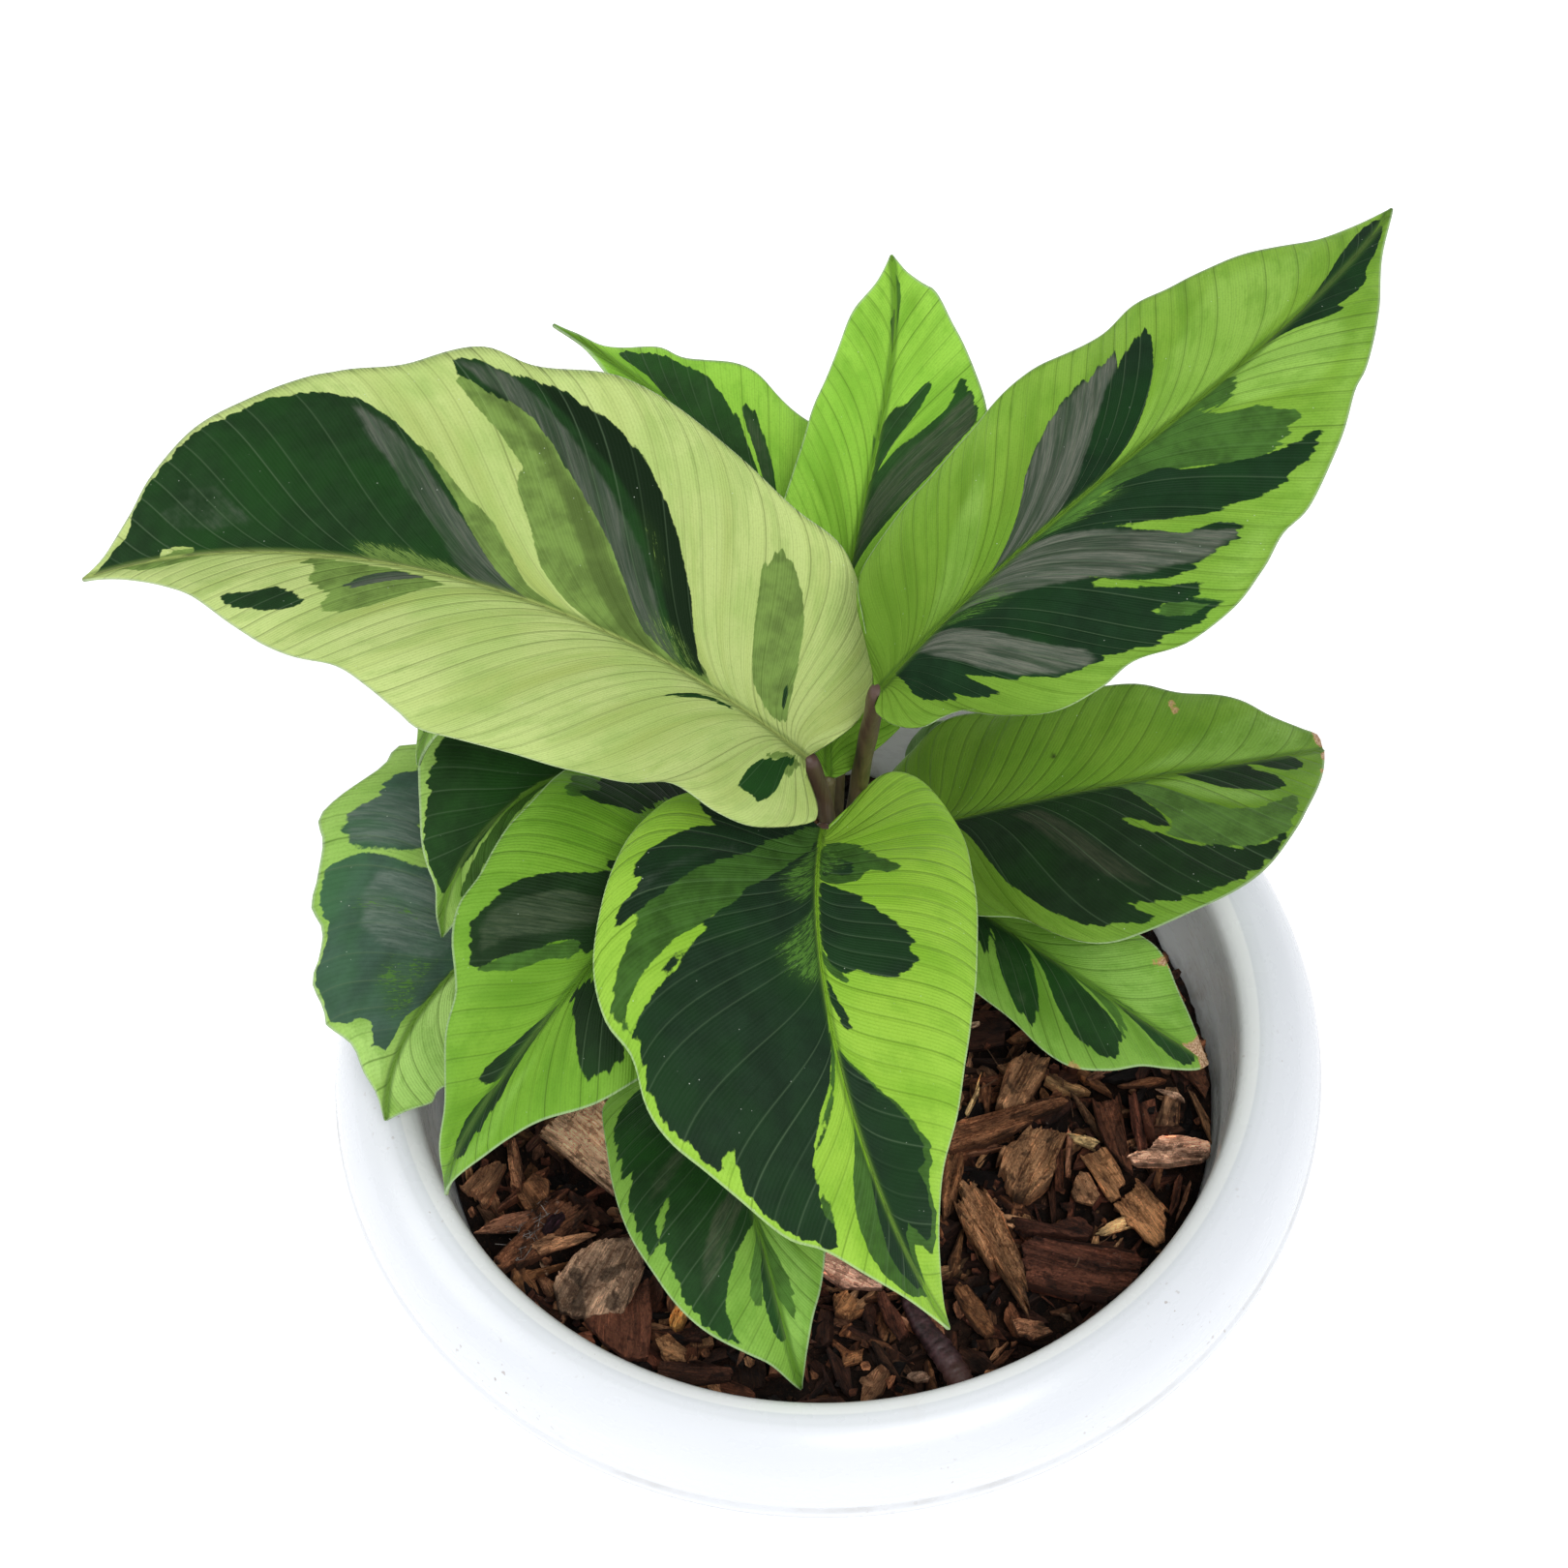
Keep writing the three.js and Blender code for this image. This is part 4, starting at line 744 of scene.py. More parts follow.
def leaf_piece(name, leaf, number):
    blade = Blade(leaf)
    length = blade.length
    rows = max(FEWEST_ROWS, int(length * ROWS_PER_MM))
    near = np.linspace(0, 1, COLUMNS) ** 1.25
    span = np.linspace(0, 1, rows)
    wave_seed = rng.uniform(*ANY_PHASE, 6)
    sheets = {}
    for sign, side in ((-1, "left"), (1, "right")):
        x, y = blade.veins(side, rows, near)
        width = float(np.mean(y[:, -1]))
        u = np.repeat(span[:, None], COLUMNS, 1)
        t = np.repeat(near[None, :], rows, 0)
        fields, weights = patch_fields(leaf, side, length, width, u, t)
        place = blade.point(x, sign * y)
        # Shallow swells between the main veins, and a wave that grows towards the margin
        body = np.minimum(y / 3.0, 1) * np.clip(4 * (1 - u), 0, 1)
        ribbed = 0.16 * np.sin(u * length * 0.62) * body * (1 - 0.4 * t)
        margin_wave = 0.75 * t**2.5 * (
            np.sin(u * 19 + wave_seed[0]) + 0.6 * np.sin(u * 34 + wave_seed[1])
        ) * np.clip(5 * u, 0, 1) * np.clip(6 * (1 - u), 0, 1)
        _, _, normal = blade.frame(x)
        place = place + normal * (ribbed + margin_wave)[..., None]
        # A shallow channel along the midrib
        place = place - normal * (0.35 * np.exp(-((y / 1.1) ** 2)) * (1 - u))[..., None]
        sheets[side] = dict(x=x, y=y, u=u, t=t, place=place, normal=normal, fields=fields,
                            weights=weights, width=width)
    # Rows run left margin, midrib, right margin
    def joined(get, flip=None):
        left = get(sheets["left"])[:, ::-1]
        right = get(sheets["right"])[:, 1:]
        if flip is not None:
            left = left * flip
        return np.concatenate([left, right], axis=1)

    place = joined(lambda s: s["place"])
    normal = joined(lambda s: s["normal"])
    x = joined(lambda s: s["x"])
    y = joined(lambda s: s["y"], flip=-1)
    u = joined(lambda s: s["u"])
    t = joined(lambda s: s["t"])
    across = place.shape[1]
    thin = np.clip((1 - t) * 6, 0.25, 1)
    half = BLADE_THICKNESS / 2 * thin
    keel_height = 1.3 * leaf["radius"] * np.clip(1.02 - x / length, 0, 1) ** 0.7
    keel = keel_height * np.exp(-((y / (0.9 + 0.5 * keel_height)) ** 2))
    top = place + normal * half[..., None]
    under = place - normal * (half + keel)[..., None]
    vertices = np.concatenate([top.reshape(-1, 3), under.reshape(-1, 3)])
    count = rows * across
    grid = np.arange(count).reshape(rows, across)
    a, b = grid[:-1, :-1].ravel(), grid[:-1, 1:].ravel()
    c, d = grid[1:, 1:].ravel(), grid[1:, :-1].ravel()
    faces = np.stack([a, b, c, d], 1).tolist()
    faces += (np.stack([a, d, c, b], 1) + count).tolist()
    rim = np.concatenate([grid[0, :-1], grid[:-1, -1], grid[-1, :0:-1], grid[:0:-1, 0]])
    ahead = np.roll(rim, -1)
    faces += np.stack([rim, rim + count, ahead + count, ahead], 1).tolist()
    obj = make_mesh(name + "_blade", vertices, faces)
    mesh = obj.data

    def both(field):
        flat = field.ravel()
        return np.concatenate([flat, flat])

    side_offset = joined(lambda s: np.zeros(s["u"].shape))
    side_offset[:, : COLUMNS - 1] = LEFT_LANE_SHIFT
    lanes = u * length * VEINS_PER_MM + side_offset + number * NEXT_LEAF_SHIFT
    set_uv(mesh, "Vein", np.stack([both(lanes), both(t)], 1))
    set_uv(mesh, "Blade", np.stack([both(x), both(y)], 1) * UV_PER_MM)

    def field(kind):
        return joined(lambda s: s["fields"][kind])

    def weight(kind):
        return joined(lambda s: s["weights"][kind])

    def rag(kind):
        return joined(lambda s: crosswise(s["fields"][kind], length, s["width"]))

    upper = np.concatenate([np.ones(count), np.zeros(count)])
    margin = both(joined(lambda s: (s["y"][:, -1:] - s["y"]) + 0 * s["y"]))
    set_colour(mesh, "Patch", np.stack(
        [both(encode(field("dark"))), both(encode(field("mid"))), both(weight("painted_sheen"))], 1))
    set_colour(mesh, "Rag", np.stack(
        [both(rag("dark")), both(rag("mid")), both(weight("fleck"))], 1))
    # Brown dead tissue, painted light and dark specks
    set_colour(mesh, "MarksAndPaintedLight", np.stack(
        [both(weight("brown")), both(weight("light")), both(weight("speck"))], 1))
    # Painted shade: darker towards the blade's base, most near the midrib
    base_shade = np.clip(1.15 - x / (0.3 * length), 0, 1) * (1 - 0.3 * t)
    set_colour(mesh, "ToneAndShade", np.stack(
        [both(weight("deep")), both(base_shade * leaf["look"]["base"]), both(0 * t)], 1))
    set_colour(mesh, "Edge", np.stack(
        [np.clip(margin / 6, 0, 1), np.clip(np.abs(both(y)) / 6, 0, 1), upper], 1))
    finish_piece(obj, leaf_material(name, leaf), "leaf", name)


def leaf_material(name, leaf):
    look = leaf["look"]
    n = Nodes(name + "_skin")
    _, lane, out = n.uv("Vein")
    blade_uv, _, _ = n.uv("Blade")
    dark_distance, mid_distance, painted_sheen_share = split_colour(n, "Patch")
    dark_rag, mid_rag, fleck_share = split_colour(n, "Rag")
    brown_share, painted_light_share, speck_share = split_colour(n, "MarksAndPaintedLight")
    margin, midrib, upper = split_colour(n, "Edge")
    deep_share, painted_base_shade_share, _ = split_colour(n, "ToneAndShade")
    unit_mm = 1 / (2 * DISTANCE_SPAN)

    # Ragged patch edges: teeth follow the lanes between fine veins
    teeth_at = n.vector(n.math("MULTIPLY", lane, 2.9), n.math("MULTIPLY", out, 2.0))
    teeth = n.noise(teeth_at, 1.0, 1.5, 0.5)
    long_at = n.vector(n.math("MULTIPLY", lane, 1.9), n.math("MULTIPLY", out, 1.2), 3.7)
    long_teeth = n.noise(long_at, 1.0, 1.0, 0.5)
    wander = n.noise(n.stretched(blade_uv, (9.0, 9.0, 1.0)), 1.0, 3.0, 0.65)

    def patch(distance, rag):
        reach = n.math("MULTIPLY_ADD", rag, 1.2 * unit_mm, 0.2 * unit_mm)
        jag = n.math("ADD", n.math("SUBTRACT", teeth, 0.5), n.math("SUBTRACT", long_teeth, 0.5))
        moved = n.math("MULTIPLY_ADD", jag, reach, distance)
        moved = n.math("MULTIPLY_ADD", n.math("SUBTRACT", wander, 0.5), 0.6 * unit_mm, moved)
        return n.step(moved, 0.5 - 0.11 * unit_mm, 0.5 + 0.11 * unit_mm)

    dark = patch(dark_distance, dark_rag)
    mid = patch(mid_distance, mid_rag)

    # Veins: one fine line per lane, some stronger, and a finer ribbing between
    def lines(frequency, sharp):
        wave = n.math("COSINE", n.math("MULTIPLY", lane, 6.28318 * frequency))
        return n.math("POWER", n.math("MULTIPLY_ADD", wave, 0.5, 0.5), sharp)

    main_lines = lines(1.0, 85.0)
    lane_strength = n.noise(n.vector(n.math("ROUND", lane), 0.0, 1.3), 3.1, 0.0)
    main_lines = n.math("MULTIPLY", main_lines, n.step(lane_strength, 0.34, 0.62))
    fine_lines = lines(6.0, 2.0)
    mottle = n.noise(n.stretched(blade_uv, (2.2, 2.2, 1.0)), 1.0, 3.0, 0.6)
    fine_mottle = n.noise(n.stretched(blade_uv, (24.0, 24.0, 1.0)), 1.0, 2.0, 0.6)
    bands = n.noise(n.vector(n.math("MULTIPLY", lane, 0.55), n.math("MULTIPLY", out, 0.9), 9.1),
                    1.0, 2.0, 0.5)

    # Ground colour, brighter towards the margin as painted light glowing through the thin edge, with shaded
    # bands along the veins
    ground = n.mix(n.step(bands, 0.42, 0.72), look["ground"], look["shade"])
    painted_edge_glow = tuple(min(1.0, c * 1.22 + 0.02) for c in look["ground"])
    ground = n.mix(n.math("MULTIPLY", n.step(out, 0.55, 1.0), 0.5), ground, painted_edge_glow)
    # Painted light: lighter ground where more light falls on the blade
    ground = n.mix(n.math("MULTIPLY", painted_light_share, 0.75), ground,
                   tuple(min(1.0, c * 1.35 + 0.06) for c in look["ground"]))
    drift = n.noise(n.stretched(blade_uv, (0.5, 0.5, 1.0)), 1.0, 3.0, 0.6)
    ground = n.mix(n.math("MULTIPLY", n.step(drift, 0.42, 0.68), 0.45), ground,
                   tuple(a * b for a, b in zip(look["ground"], (0.72, 0.86, 0.62))))
    cloud = n.noise(n.vector(n.math("MULTIPLY", lane, 1.1), n.math("MULTIPLY", out, 4.2), 6.4),
                    1.0, 3.0, 0.65)
    ground = n.mix(n.math("MULTIPLY", n.step(cloud, 0.46, 0.66), 0.42), ground,
                   tuple(a * b for a, b in zip(look["ground"], (0.62, 0.74, 0.55))))
    ground = n.mix(n.math("MULTIPLY", main_lines, 0.58), ground,
                   tuple(c * 0.40 for c in look["shade"]))
    ground = n.mix(n.math("MULTIPLY", fine_lines, 0.07), ground,
                   tuple(c * 0.6 for c in look["shade"]))
    ground = n.mix(n.math("MULTIPLY", n.step(fine_mottle, 0.45, 0.75), 0.22), ground,
                   tuple(c * 0.7 for c in look["shade"]))
    # Painted shade near the blade's base
    ground = n.mix(painted_base_shade_share, ground, tuple(c * 0.62 for c in look["shade"]))

    # Middle green, deeper where a deep patch lies under it
    mid_colour = n.mix(n.step(mottle, 0.35, 0.7), look["mid"],
                       tuple(c * 0.62 for c in look["mid"]))
    mid_colour = n.mix(n.math("MULTIPLY", fine_lines, 0.16), mid_colour,
                       tuple(c * 0.5 for c in look["mid"]))
    mid_colour = n.mix(n.math("MULTIPLY", main_lines, 0.35), mid_colour,
                       tuple(c * 1.5 + 0.02 for c in look["mid"]))

    deep_edge = n.math("MULTIPLY_ADD", n.math("SUBTRACT", mottle, 0.5), 0.6, deep_share)
    deep = n.step(deep_edge, 0.15, 0.85)
    mid_colour = n.mix(deep, mid_colour, tuple(c * 0.45 for c in look["mid"]))

    # Dark green, with a painted sheen in silvery grey zones, and thin pale veins
    dark_colour = n.mix(n.step(mottle, 0.3, 0.75), tuple(c * 0.78 for c in look["dark"]),
                        tuple(c * 1.18 for c in look["dark"]))
    dark_colour = n.mix(n.math("MULTIPLY", n.step(drift, 0.40, 0.66), 0.6), dark_colour,
                        tuple(a * b for a, b in zip(look["dark"], (1.0, 1.55, 0.8))))
    # Painted sheen: silvery grey laid over the dark green in streaks
    painted_sheen_at = n.vector(n.math("MULTIPLY", lane, 9.0), n.math("MULTIPLY", out, 9.0), 2.2)
    painted_sheen_colour = n.mix(n.step(n.noise(painted_sheen_at, 1.0, 3.0, 0.7), 0.36, 0.66),
                   tuple(a * b for a, b in zip(look["painted_sheen"], (0.66, 0.74, 0.68))),
                   tuple(a * b for a, b in zip(look["painted_sheen"], (1.22, 1.14, 1.12))))
    painted_sheen_streak_at = n.vector(n.math("MULTIPLY", lane, 1.5), n.math("MULTIPLY", out, 1.9), 4.4)
    painted_sheen_streaks = n.step(n.noise(painted_sheen_streak_at, 1.0, 3.0, 0.6), 0.36, 0.60)
    painted_sheen_edge = n.math("MULTIPLY_ADD", n.math("SUBTRACT", mottle, 0.5), 0.8, painted_sheen_share)
    painted_sheen_amount = n.math("MULTIPLY", n.step(painted_sheen_edge, 0.22, 0.80),
                         n.math("MULTIPLY_ADD", painted_sheen_streaks, 0.58, 0.34))
    dark_colour = n.mix(painted_sheen_amount, dark_colour, painted_sheen_colour)
    dark_colour = n.mix(deep, dark_colour, tuple(c * 0.40 for c in look["dark"]))
    dark_colour = n.mix(n.math("MULTIPLY", main_lines, 0.42), dark_colour, (0.12, 0.19, 0.10))
    dark_colour = n.mix(n.math("MULTIPLY", fine_lines, 0.05), dark_colour, (0.03, 0.06, 0.03))

    colour = n.mix(mid, ground, mid_colour)
    colour = n.mix(dark, colour, dark_colour)
    # Flecks: bright green showing through in short streaks along the veins
    colour = n.mix(n.math("MULTIPLY", n.math("MULTIPLY", fleck_share, dark), 0.32), colour,
                   (0.055, 0.13, 0.02))
    fleck_at = n.vector(n.math("MULTIPLY", lane, 13.0), n.math("MULTIPLY", out, 17.0), 5.5)
    fleck = n.noise(fleck_at, 1.0, 3.0, 0.7)
    fleck_cut = n.math("MULTIPLY_ADD", fleck_share, 0.24, fleck)
    fleck = n.math("MULTIPLY", n.step(fleck_cut, 0.66, 0.72), n.step(fleck_share, 0.05, 0.25))
    colour = n.mix(n.math("MULTIPLY", fleck, 0.75), colour,
                   tuple(c * 0.9 for c in look["mid"]) if look is PALE else (0.09, 0.22, 0.03))

    # The midrib: light green, with dark along its sides inside dark patches
    rib_core = n.math("SUBTRACT", 1.0, n.step(midrib, 0.025, 0.095))
    rib_side = n.math("SUBTRACT", 1.0, n.step(midrib, 0.06, 0.18))
    colour = n.mix(n.math("MULTIPLY", rib_side, 0.60), colour,
                   tuple(c * 0.6 for c in look["mid"]))
    rib_tone = n.mix(dark, tuple(c * 0.95 for c in look["shade"]),
                     tuple(0.45 * a + 0.02 for a in look["shade"]))
    colour = n.mix(n.math("MULTIPLY", rib_core, 0.8), colour, rib_tone)

    # Pale thin rim along the margin as a painted highlight, brown dead tissue, dark specks and tiny dust
    # marks
    rim = n.math("SUBTRACT", 1.0, n.step(margin, 0.015, 0.055))
    colour = n.mix(n.math("MULTIPLY", rim, 0.50), colour, (0.48, 0.60, 0.40))
    brown_cut = n.math("MULTIPLY_ADD", n.math("SUBTRACT", wander, 0.5), 0.7, brown_share)
    colour = n.mix(n.step(brown_cut, 0.30, 0.42), colour, (0.42, 0.30, 0.10))
    brown_tone = n.mix(n.step(fine_mottle, 0.35, 0.65), (0.62, 0.44, 0.28), (0.30, 0.15, 0.07))
    colour = n.mix(n.step(brown_cut, 0.42, 0.58), colour, brown_tone)
    colour = n.mix(n.step(speck_share, 0.3, 0.6), colour, (0.01, 0.008, 0.005))
    dust_at = n.stretched(blade_uv, (6.0, 6.0, 1.0))
    dust = n.new("ShaderNodeTexVoronoi")
    n.put(dust.inputs["Vector"], dust_at)
    dust.inputs["Scale"].default_value = 1.0
    dust_spot = n.math("SUBTRACT", 1.0, n.step(dust.outputs["Distance"], 0.03, 0.07))
    dust_here = n.step(n.noise(n.stretched(blade_uv, (1.1, 1.1, 1.0)), 1.0, 1.0), 0.52, 0.62)
    colour = n.mix(n.math("MULTIPLY", n.math("MULTIPLY", dust_spot, dust_here), 0.55),
                   colour, (0.75, 0.82, 0.70))

    # Underside: paler and matt
    below = n.mix(n.step(mottle, 0.3, 0.7), (0.20, 0.30, 0.12), (0.27, 0.38, 0.16))
    below = n.mix(n.math("MULTIPLY", n.math("MAXIMUM", dark, n.math("MULTIPLY", mid, 0.4)), 0.55),
                  below, (0.07, 0.12, 0.07))
    below = n.mix(n.math("MULTIPLY", main_lines, 0.5), below, (0.10, 0.18, 0.05))
    below = n.mix(rib_core, below, (0.26, 0.34, 0.10))
    colour = n.mix(n.step(upper, 0.4, 0.6), below, colour)
    n.put(n.bsdf.inputs["Base Color"], colour)

    rough = n.math("MULTIPLY_ADD", fine_mottle, 0.22, 0.40)
    rough = n.math("MULTIPLY_ADD", dark, 0.06, rough)
    n.put(n.bsdf.inputs["Roughness"], rough)
    n.bsdf.inputs["Specular IOR Level"].default_value = 0.09
    height = n.math("MULTIPLY", lines(1.0, 6.0), -0.55)
    height = n.math("MULTIPLY_ADD", main_lines, -0.6, height)
    height = n.math("MULTIPLY_ADD", fine_lines, 0.22, height)
    height = n.math("MULTIPLY_ADD", fine_mottle, 0.25, height)
    n.put(n.bsdf.inputs["Normal"], n.bump(height, 0.00026, 0.85))
    return n.material


for number, (leaf_name, leaf_data) in enumerate(LEAVES.items()):
    leaf_piece(leaf_name, leaf_data, number)


# Stalks, crown and sheaths

def tube(points, radii, sides):
    """Vertices and faces of a closed tube through the points."""
    points = np.asarray(points, float)
    slope = unit(np.gradient(points, axis=0))
    across = unit(np.cross((0.3, 1.0, 0.1), slope))
    up = np.cross(slope, across)
    angle = np.linspace(0, 2 * math.pi, sides, endpoint=False)
    ring = (across[:, None] * np.cos(angle)[None, :, None]
            + up[:, None] * np.sin(angle)[None, :, None])
    vertices = (points[:, None] + ring * np.asarray(radii)[:, None, None]).reshape(-1, 3)
    rings = len(points)
    faces = []
    for i in range(rings - 1):
        for j in range(sides):
            a, b = i * sides + j, i * sides + (j + 1) % sides
            faces.append((a, b, b + sides, a + sides))
    faces.append(tuple(range(sides))[::-1])
    faces.append(tuple(range((rings - 1) * sides, rings * sides)))
    run = np.repeat(np.arange(rings) / rings, sides)
    turn = np.tile(np.arange(sides) / sides, rings)
    return vertices, faces, np.stack([run, turn], 1)


def stalk_material(name, low, high, top):
    """Brown to olive stalk, fluted and flecked, with a purple flush near the blade."""
    n = Nodes(name)
    _, run, _ = n.uv("Grain")
    place = n.place()
    streak = n.noise(n.stretched(place, (900.0, 900.0, 45.0)), 1.0, 3.0, 0.6)
    blotch = n.noise(n.stretched(place, (260.0, 260.0, 70.0)), 1.0, 3.0, 0.6)
    colour = n.mix(n.step(streak, 0.32, 0.68), low, high)
    colour = n.mix(n.math("MULTIPLY", n.step(blotch, 0.45, 0.7), 0.5), colour,
                   tuple(c * 1.7 + 0.01 for c in high))
    colour = n.mix(n.math("MULTIPLY", n.step(run, 0.62, 1.0), 0.8), colour, top)
    n.put(n.bsdf.inputs["Base Color"], colour)
    n.put(n.bsdf.inputs["Roughness"], n.math("MULTIPLY_ADD", streak, 0.25, 0.38))
    n.put(n.bsdf.inputs["Normal"], n.bump(streak, 0.00035, 0.7))
    return n.material


stalk_brown = stalk_material("stalk_brown", (0.030, 0.024, 0.008), (0.085, 0.062, 0.022),
                             (0.075, 0.035, 0.028))
stalk_olive = stalk_material("stalk_olive", (0.055, 0.065, 0.014), (0.13, 0.15, 0.035),
                             (0.10, 0.075, 0.03))
SHEATH_HEIGHT = 19.0
SHEATH_FOOT_RADIUS = 4.1
NECK_LENGTH = 5.0
STALK_POINTS = 90
CROWN_FOOT = 53.4


def stalk_path(leaf):
    return even_points(bezier(leaf["stalk"], np.linspace(0, 1, 300)), STALK_POINTS)


for leaf_name, leaf_data in LEAVES.items():
    path = stalk_path(leaf_data)
    reach = curve_length(path)
    run = np.linspace(0, reach, len(path))
    keep = run > SHEATH_HEIGHT - 4
    radius = leaf_data["radius"]
    swell = 1 + 0.10 * np.exp(-(((run - reach + NECK_LENGTH) / 4) ** 2))
    radii = radius * swell + 0.06 * np.sin(run * 0.35)
    radii = radii * np.clip((reach - run) / 2.0 + 0.62, 0, 1)
    verts, faces, grain = tube(path[keep], radii[keep], 18)
    stalk = make_mesh(leaf_name.replace("leaf", "stalk") + "_stem", verts, faces)
    set_uv(stalk.data, "Grain", grain)
    olive = leaf_name in ("leaf_back", "leaf_right_low", "leaf_front_low", "leaf_right_small")
    finish_piece(stalk, stalk_olive if olive else stalk_brown, "stalk",
                 leaf_name.replace("leaf", "stalk"))

CROWN_CENTRE = (-1.0, 5.0)
crown_verts, crown_faces, crown_uv = [], [], []


def add_part(verts, faces, uv):
    base = sum(len(v) for v in crown_verts)
    crown_verts.append(verts)
    crown_faces.extend([tuple(i + base for i in f) for f in faces])
    crown_uv.append(uv)


for leaf_data in LEAVES.values():
    path = stalk_path(leaf_data)
    run = np.linspace(0, curve_length(path), len(path))
    keep = run < SHEATH_HEIGHT
    fall = run[keep] / SHEATH_HEIGHT
    radii = SHEATH_FOOT_RADIUS + (leaf_data["radius"] + 0.35 - SHEATH_FOOT_RADIUS) * fall**0.8
    verts, faces, uv = tube(path[keep], radii, 20)
    verts[:, 2] = np.maximum(verts[:, 2], CROWN_FOOT)
    add_part(verts, faces, uv * (0.55, 1.0))

dome_profile = [(0.2, 66), (6, 65.2), (10, 63.4), (14, 60.6), (16, 57.5), (16.4, 55),
                (15, CROWN_FOOT), (0.2, CROWN_FOOT)]
dome_turns = 48
dome = np.array([
    (CROWN_CENTRE[0] + r * math.cos(a) * (1 + 0.05 * math.sin(5 * a)),
     CROWN_CENTRE[1] + r * math.sin(a) * (1 + 0.05 * math.sin(5 * a)), z)
    for r, z in dome_profile
    for a in np.linspace(0, 2 * math.pi, dome_turns, endpoint=False)
])
dome_faces = [
    (i * dome_turns + j, (i + 1) * dome_turns + j,
     (i + 1) * dome_turns + (j + 1) % dome_turns, i * dome_turns + (j + 1) % dome_turns)
    for i in range(len(dome_profile) - 1)
    for j in range(dome_turns)
]
dome_faces.append(tuple(range(dome_turns)))
dome_faces.append(tuple(range((len(dome_profile) - 1) * dome_turns,
                              len(dome_profile) * dome_turns))[::-1])
add_part(dome, dome_faces, np.zeros((len(dome), 2)))
crown = make_mesh("crown_sheaths", np.concatenate(crown_verts), crown_faces)
set_uv(crown.data, "Grain", np.concatenate(crown_uv))
finish_piece(crown, stalk_material("sheath_brown", (0.04, 0.03, 0.015), (0.13, 0.10, 0.05),
                                   (0.05, 0.04, 0.02)), "stalk", "crown")


# Bowl

POT_TURNS = 192
DRAIN_HOLES = 5
DRAIN_CIRCLE = 28
DRAIN_RADIUS = 4
POT_PROFILE = [
    (0, 0), (51, 0), (52, 0.15), (53, 0.8), (53.6, 1.8), (61.5, 18), (68.5, 33), (73.4, 48),
    (76.6, 63), (78, 71.3), (79.4, 73.6), (81.5, 74.4), (83.8, 73.6), (85.8, 71.6),
    (88.2, 66.8), (88.4, 66), (88.4, 64), (88.8, 63.6), (90.1, 63.6), (90.6, 64.1),
    (90.6, 66.0), (90.35, 66.5), (90.15, 66.9), (90.2, 67.6), (90.1, 69.4), (89.3, 72.0),
    (87.9, 74.7), (85.9, 77.1), (83.4, 78.9), (81.2, 79.75), (80.5, 79.9), (80.1, 79.88),
    (79.7, 79.98), (78.6, 79.85), (77.0, 79.3), (75.9, 78.6), (75.2, 77.5), (74.8, 75.8),
    (74.3, 72), (72.9, 58), (69.9, 46), (65.4, 33), (58.8, 18.6), (52.2, 6.6), (50.6, 5.2),
    (49.8, 5), (0, 5),
]


def pot_piece():
    ring = POT_PROFILE[1:-1]
    angle = np.linspace(0, 2 * math.pi, POT_TURNS, endpoint=False)
    vertices = [(r * math.cos(a), r * math.sin(a), z) for r, z in ring for a in angle]
    vertices += [(0, 0, POT_PROFILE[0][1]), (0, 0, POT_PROFILE[-1][1])]
    low, high = len(vertices) - 2, len(vertices) - 1
    faces = []
    for i in range(len(ring) - 1):
        for j in range(POT_TURNS):
            a, b = i * POT_TURNS + j, i * POT_TURNS + (j + 1) % POT_TURNS
            faces.append((a, b, b + POT_TURNS, a + POT_TURNS))
    last = (len(ring) - 1) * POT_TURNS
    for j in range(POT_TURNS):
        k = (j + 1) % POT_TURNS
        faces.append((low, k, j))
        faces.append((high, last + j, last + k))
    pot = make_mesh("pot_bowl", vertices, faces)
    cutter_verts, cutter_faces = [], []
    sides = 32
    for hole in range(DRAIN_HOLES):
        turn = 2 * math.pi * hole / DRAIN_HOLES
        cx, cy = DRAIN_CIRCLE * math.cos(turn), DRAIN_CIRCLE * math.sin(turn)
        base = len(cutter_verts)
        for z in (-4, 9):
            for j in range(sides):
                a = 2 * math.pi * j / sides
                cutter_verts.append(
                    (cx + DRAIN_RADIUS * math.cos(a), cy + DRAIN_RADIUS * math.sin(a), z))
        for j in range(sides):
            k = (j + 1) % sides
            cutter_faces.append((base + j, base + k, base + sides + k, base + sides + j))
        cutter_faces.append(tuple(base + j for j in range(sides))[::-1])
        cutter_faces.append(tuple(base + sides + j for j in range(sides)))
    cutter = make_mesh("drain_cutter", cutter_verts, cutter_faces)
    cut = pot.modifiers.new("drain", "BOOLEAN")
    cut.operation = "DIFFERENCE"
    cut.solver = "EXACT"
    cut.object = cutter
    graph = bpy.context.evaluated_depsgraph_get()
    carved = bpy.data.meshes.new_from_object(pot.evaluated_get(graph))
    pot.modifiers.clear()
    pot.data = carved
    bpy.data.objects.remove(cutter)
    return pot


